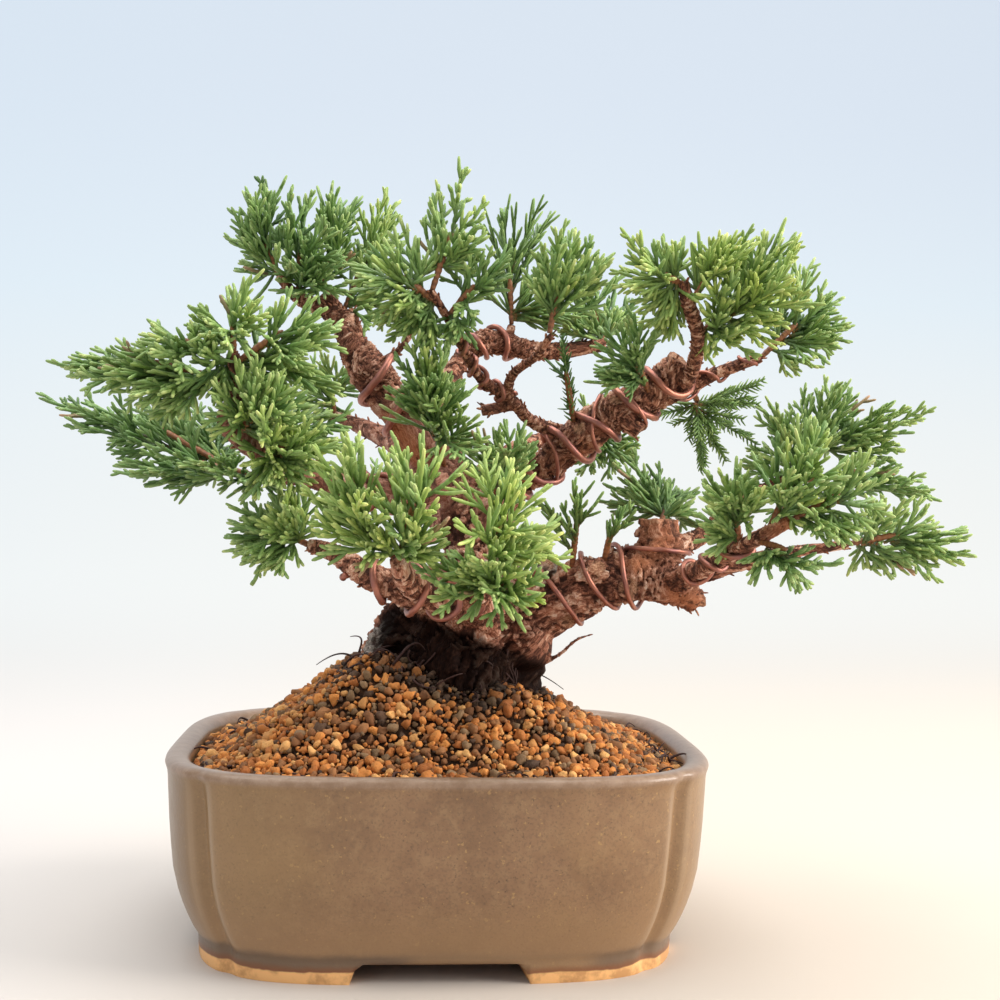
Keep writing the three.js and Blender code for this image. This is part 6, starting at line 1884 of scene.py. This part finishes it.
class BONSAI_OT_foliage(Operator):
    """Build the leafy shoots"""
    bl_idname = "bonsai.foliage"
    bl_label = "Foliage"

    def execute(self, context):
        build_foliage(context.scene.bonsai_foliage)
        return {"FINISHED"}


class BONSAI_OT_soil(Operator):
    """Build the soil, its grains and the fine roots in it"""
    bl_idname = "bonsai.soil"
    bl_label = "Soil"

    def execute(self, context):
        settings = context.scene.bonsai_soil
        heap = Heap()
        build_soil_bed(heap)
        build_grains(settings, bark_surface(), heap)
        build_rootlets(settings, heap)
        return {"FINISHED"}


class BONSAI_OT_pot(Operator):
    """Build the glazed pot"""
    bl_idname = "bonsai.pot"
    bl_label = "Pot"

    def execute(self, context):
        build_pot(context.scene.bonsai_pot)
        return {"FINISHED"}


class BONSAI_OT_drain_screens(Operator):
    """Finish the mesh screens over the drain holes"""
    bl_idname = "bonsai.drain_screens"
    bl_label = "Drain screens"

    def execute(self, context):
        material = mesh_plastic_material()
        for name in ("drain_screen_left", "drain_screen_right"):
            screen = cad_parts[name]
            screen.data.materials.clear()
            screen.data.materials.append(material)
        return {"FINISHED"}


class BONSAI_OT_stage(Operator):
    """Build the floor, the lights and the camera"""
    bl_idname = "bonsai.stage"
    bl_label = "Stage"

    def execute(self, context):
        build_stage(context.scene.bonsai_stage)
        return {"FINISHED"}


class BONSAI_PT_sidebar(Panel):
    """The pieces of the bonsai and their settings"""
    bl_idname = "BONSAI_PT_sidebar"
    bl_label = "Bonsai"
    bl_space_type = "VIEW_3D"
    bl_region_type = "UI"
    bl_category = "Bonsai"

    def draw(self, context):
        for operator, settings in STEPS:
            column = self.layout.column(align=True)
            column.operator(operator.bl_idname)
            group = getattr(context.scene, settings, None) if settings else None
            if group:
                for name in group.__annotations__:
                    column.prop(group, name)


GROUPS = {
    "bonsai_pot": BonsaiPotSettings,
    "bonsai_soil": BonsaiSoilSettings,
    "bonsai_wood": BonsaiWoodSettings,
    "bonsai_wires": BonsaiWireSettings,
    "bonsai_foliage": BonsaiFoliageSettings,
    "bonsai_stage": BonsaiStageSettings,
}
STEPS = (
    (BONSAI_OT_stage, "bonsai_stage"),
    (BONSAI_OT_pot, "bonsai_pot"),
    (BONSAI_OT_drain_screens, None),
    (BONSAI_OT_wood, "bonsai_wood"),
    (BONSAI_OT_wires, "bonsai_wires"),
    (BONSAI_OT_soil, "bonsai_soil"),
    (BONSAI_OT_foliage, "bonsai_foliage"),
)


def register():
    """Adds the classes and their settings."""
    for name, group in GROUPS.items():
        bpy.utils.register_class(group)
        setattr(bpy.types.Scene, name, PointerProperty(type=group))
    for operator, _ in STEPS:
        bpy.utils.register_class(operator)
    bpy.utils.register_class(BONSAI_PT_sidebar)


def unregister():
    """Takes the classes and their settings out again."""
    bpy.utils.unregister_class(BONSAI_PT_sidebar)
    for operator, _ in reversed(STEPS):
        bpy.utils.unregister_class(operator)
    for name, group in reversed(GROUPS.items()):
        delattr(bpy.types.Scene, name)
        bpy.utils.unregister_class(group)


def main():
    """Runs every step through its operator."""
    register()
    for operator, _ in STEPS:
        family, name = operator.bl_idname.split(".")
        getattr(getattr(bpy.ops, family), name)()


if __name__ == "__main__":
    main()
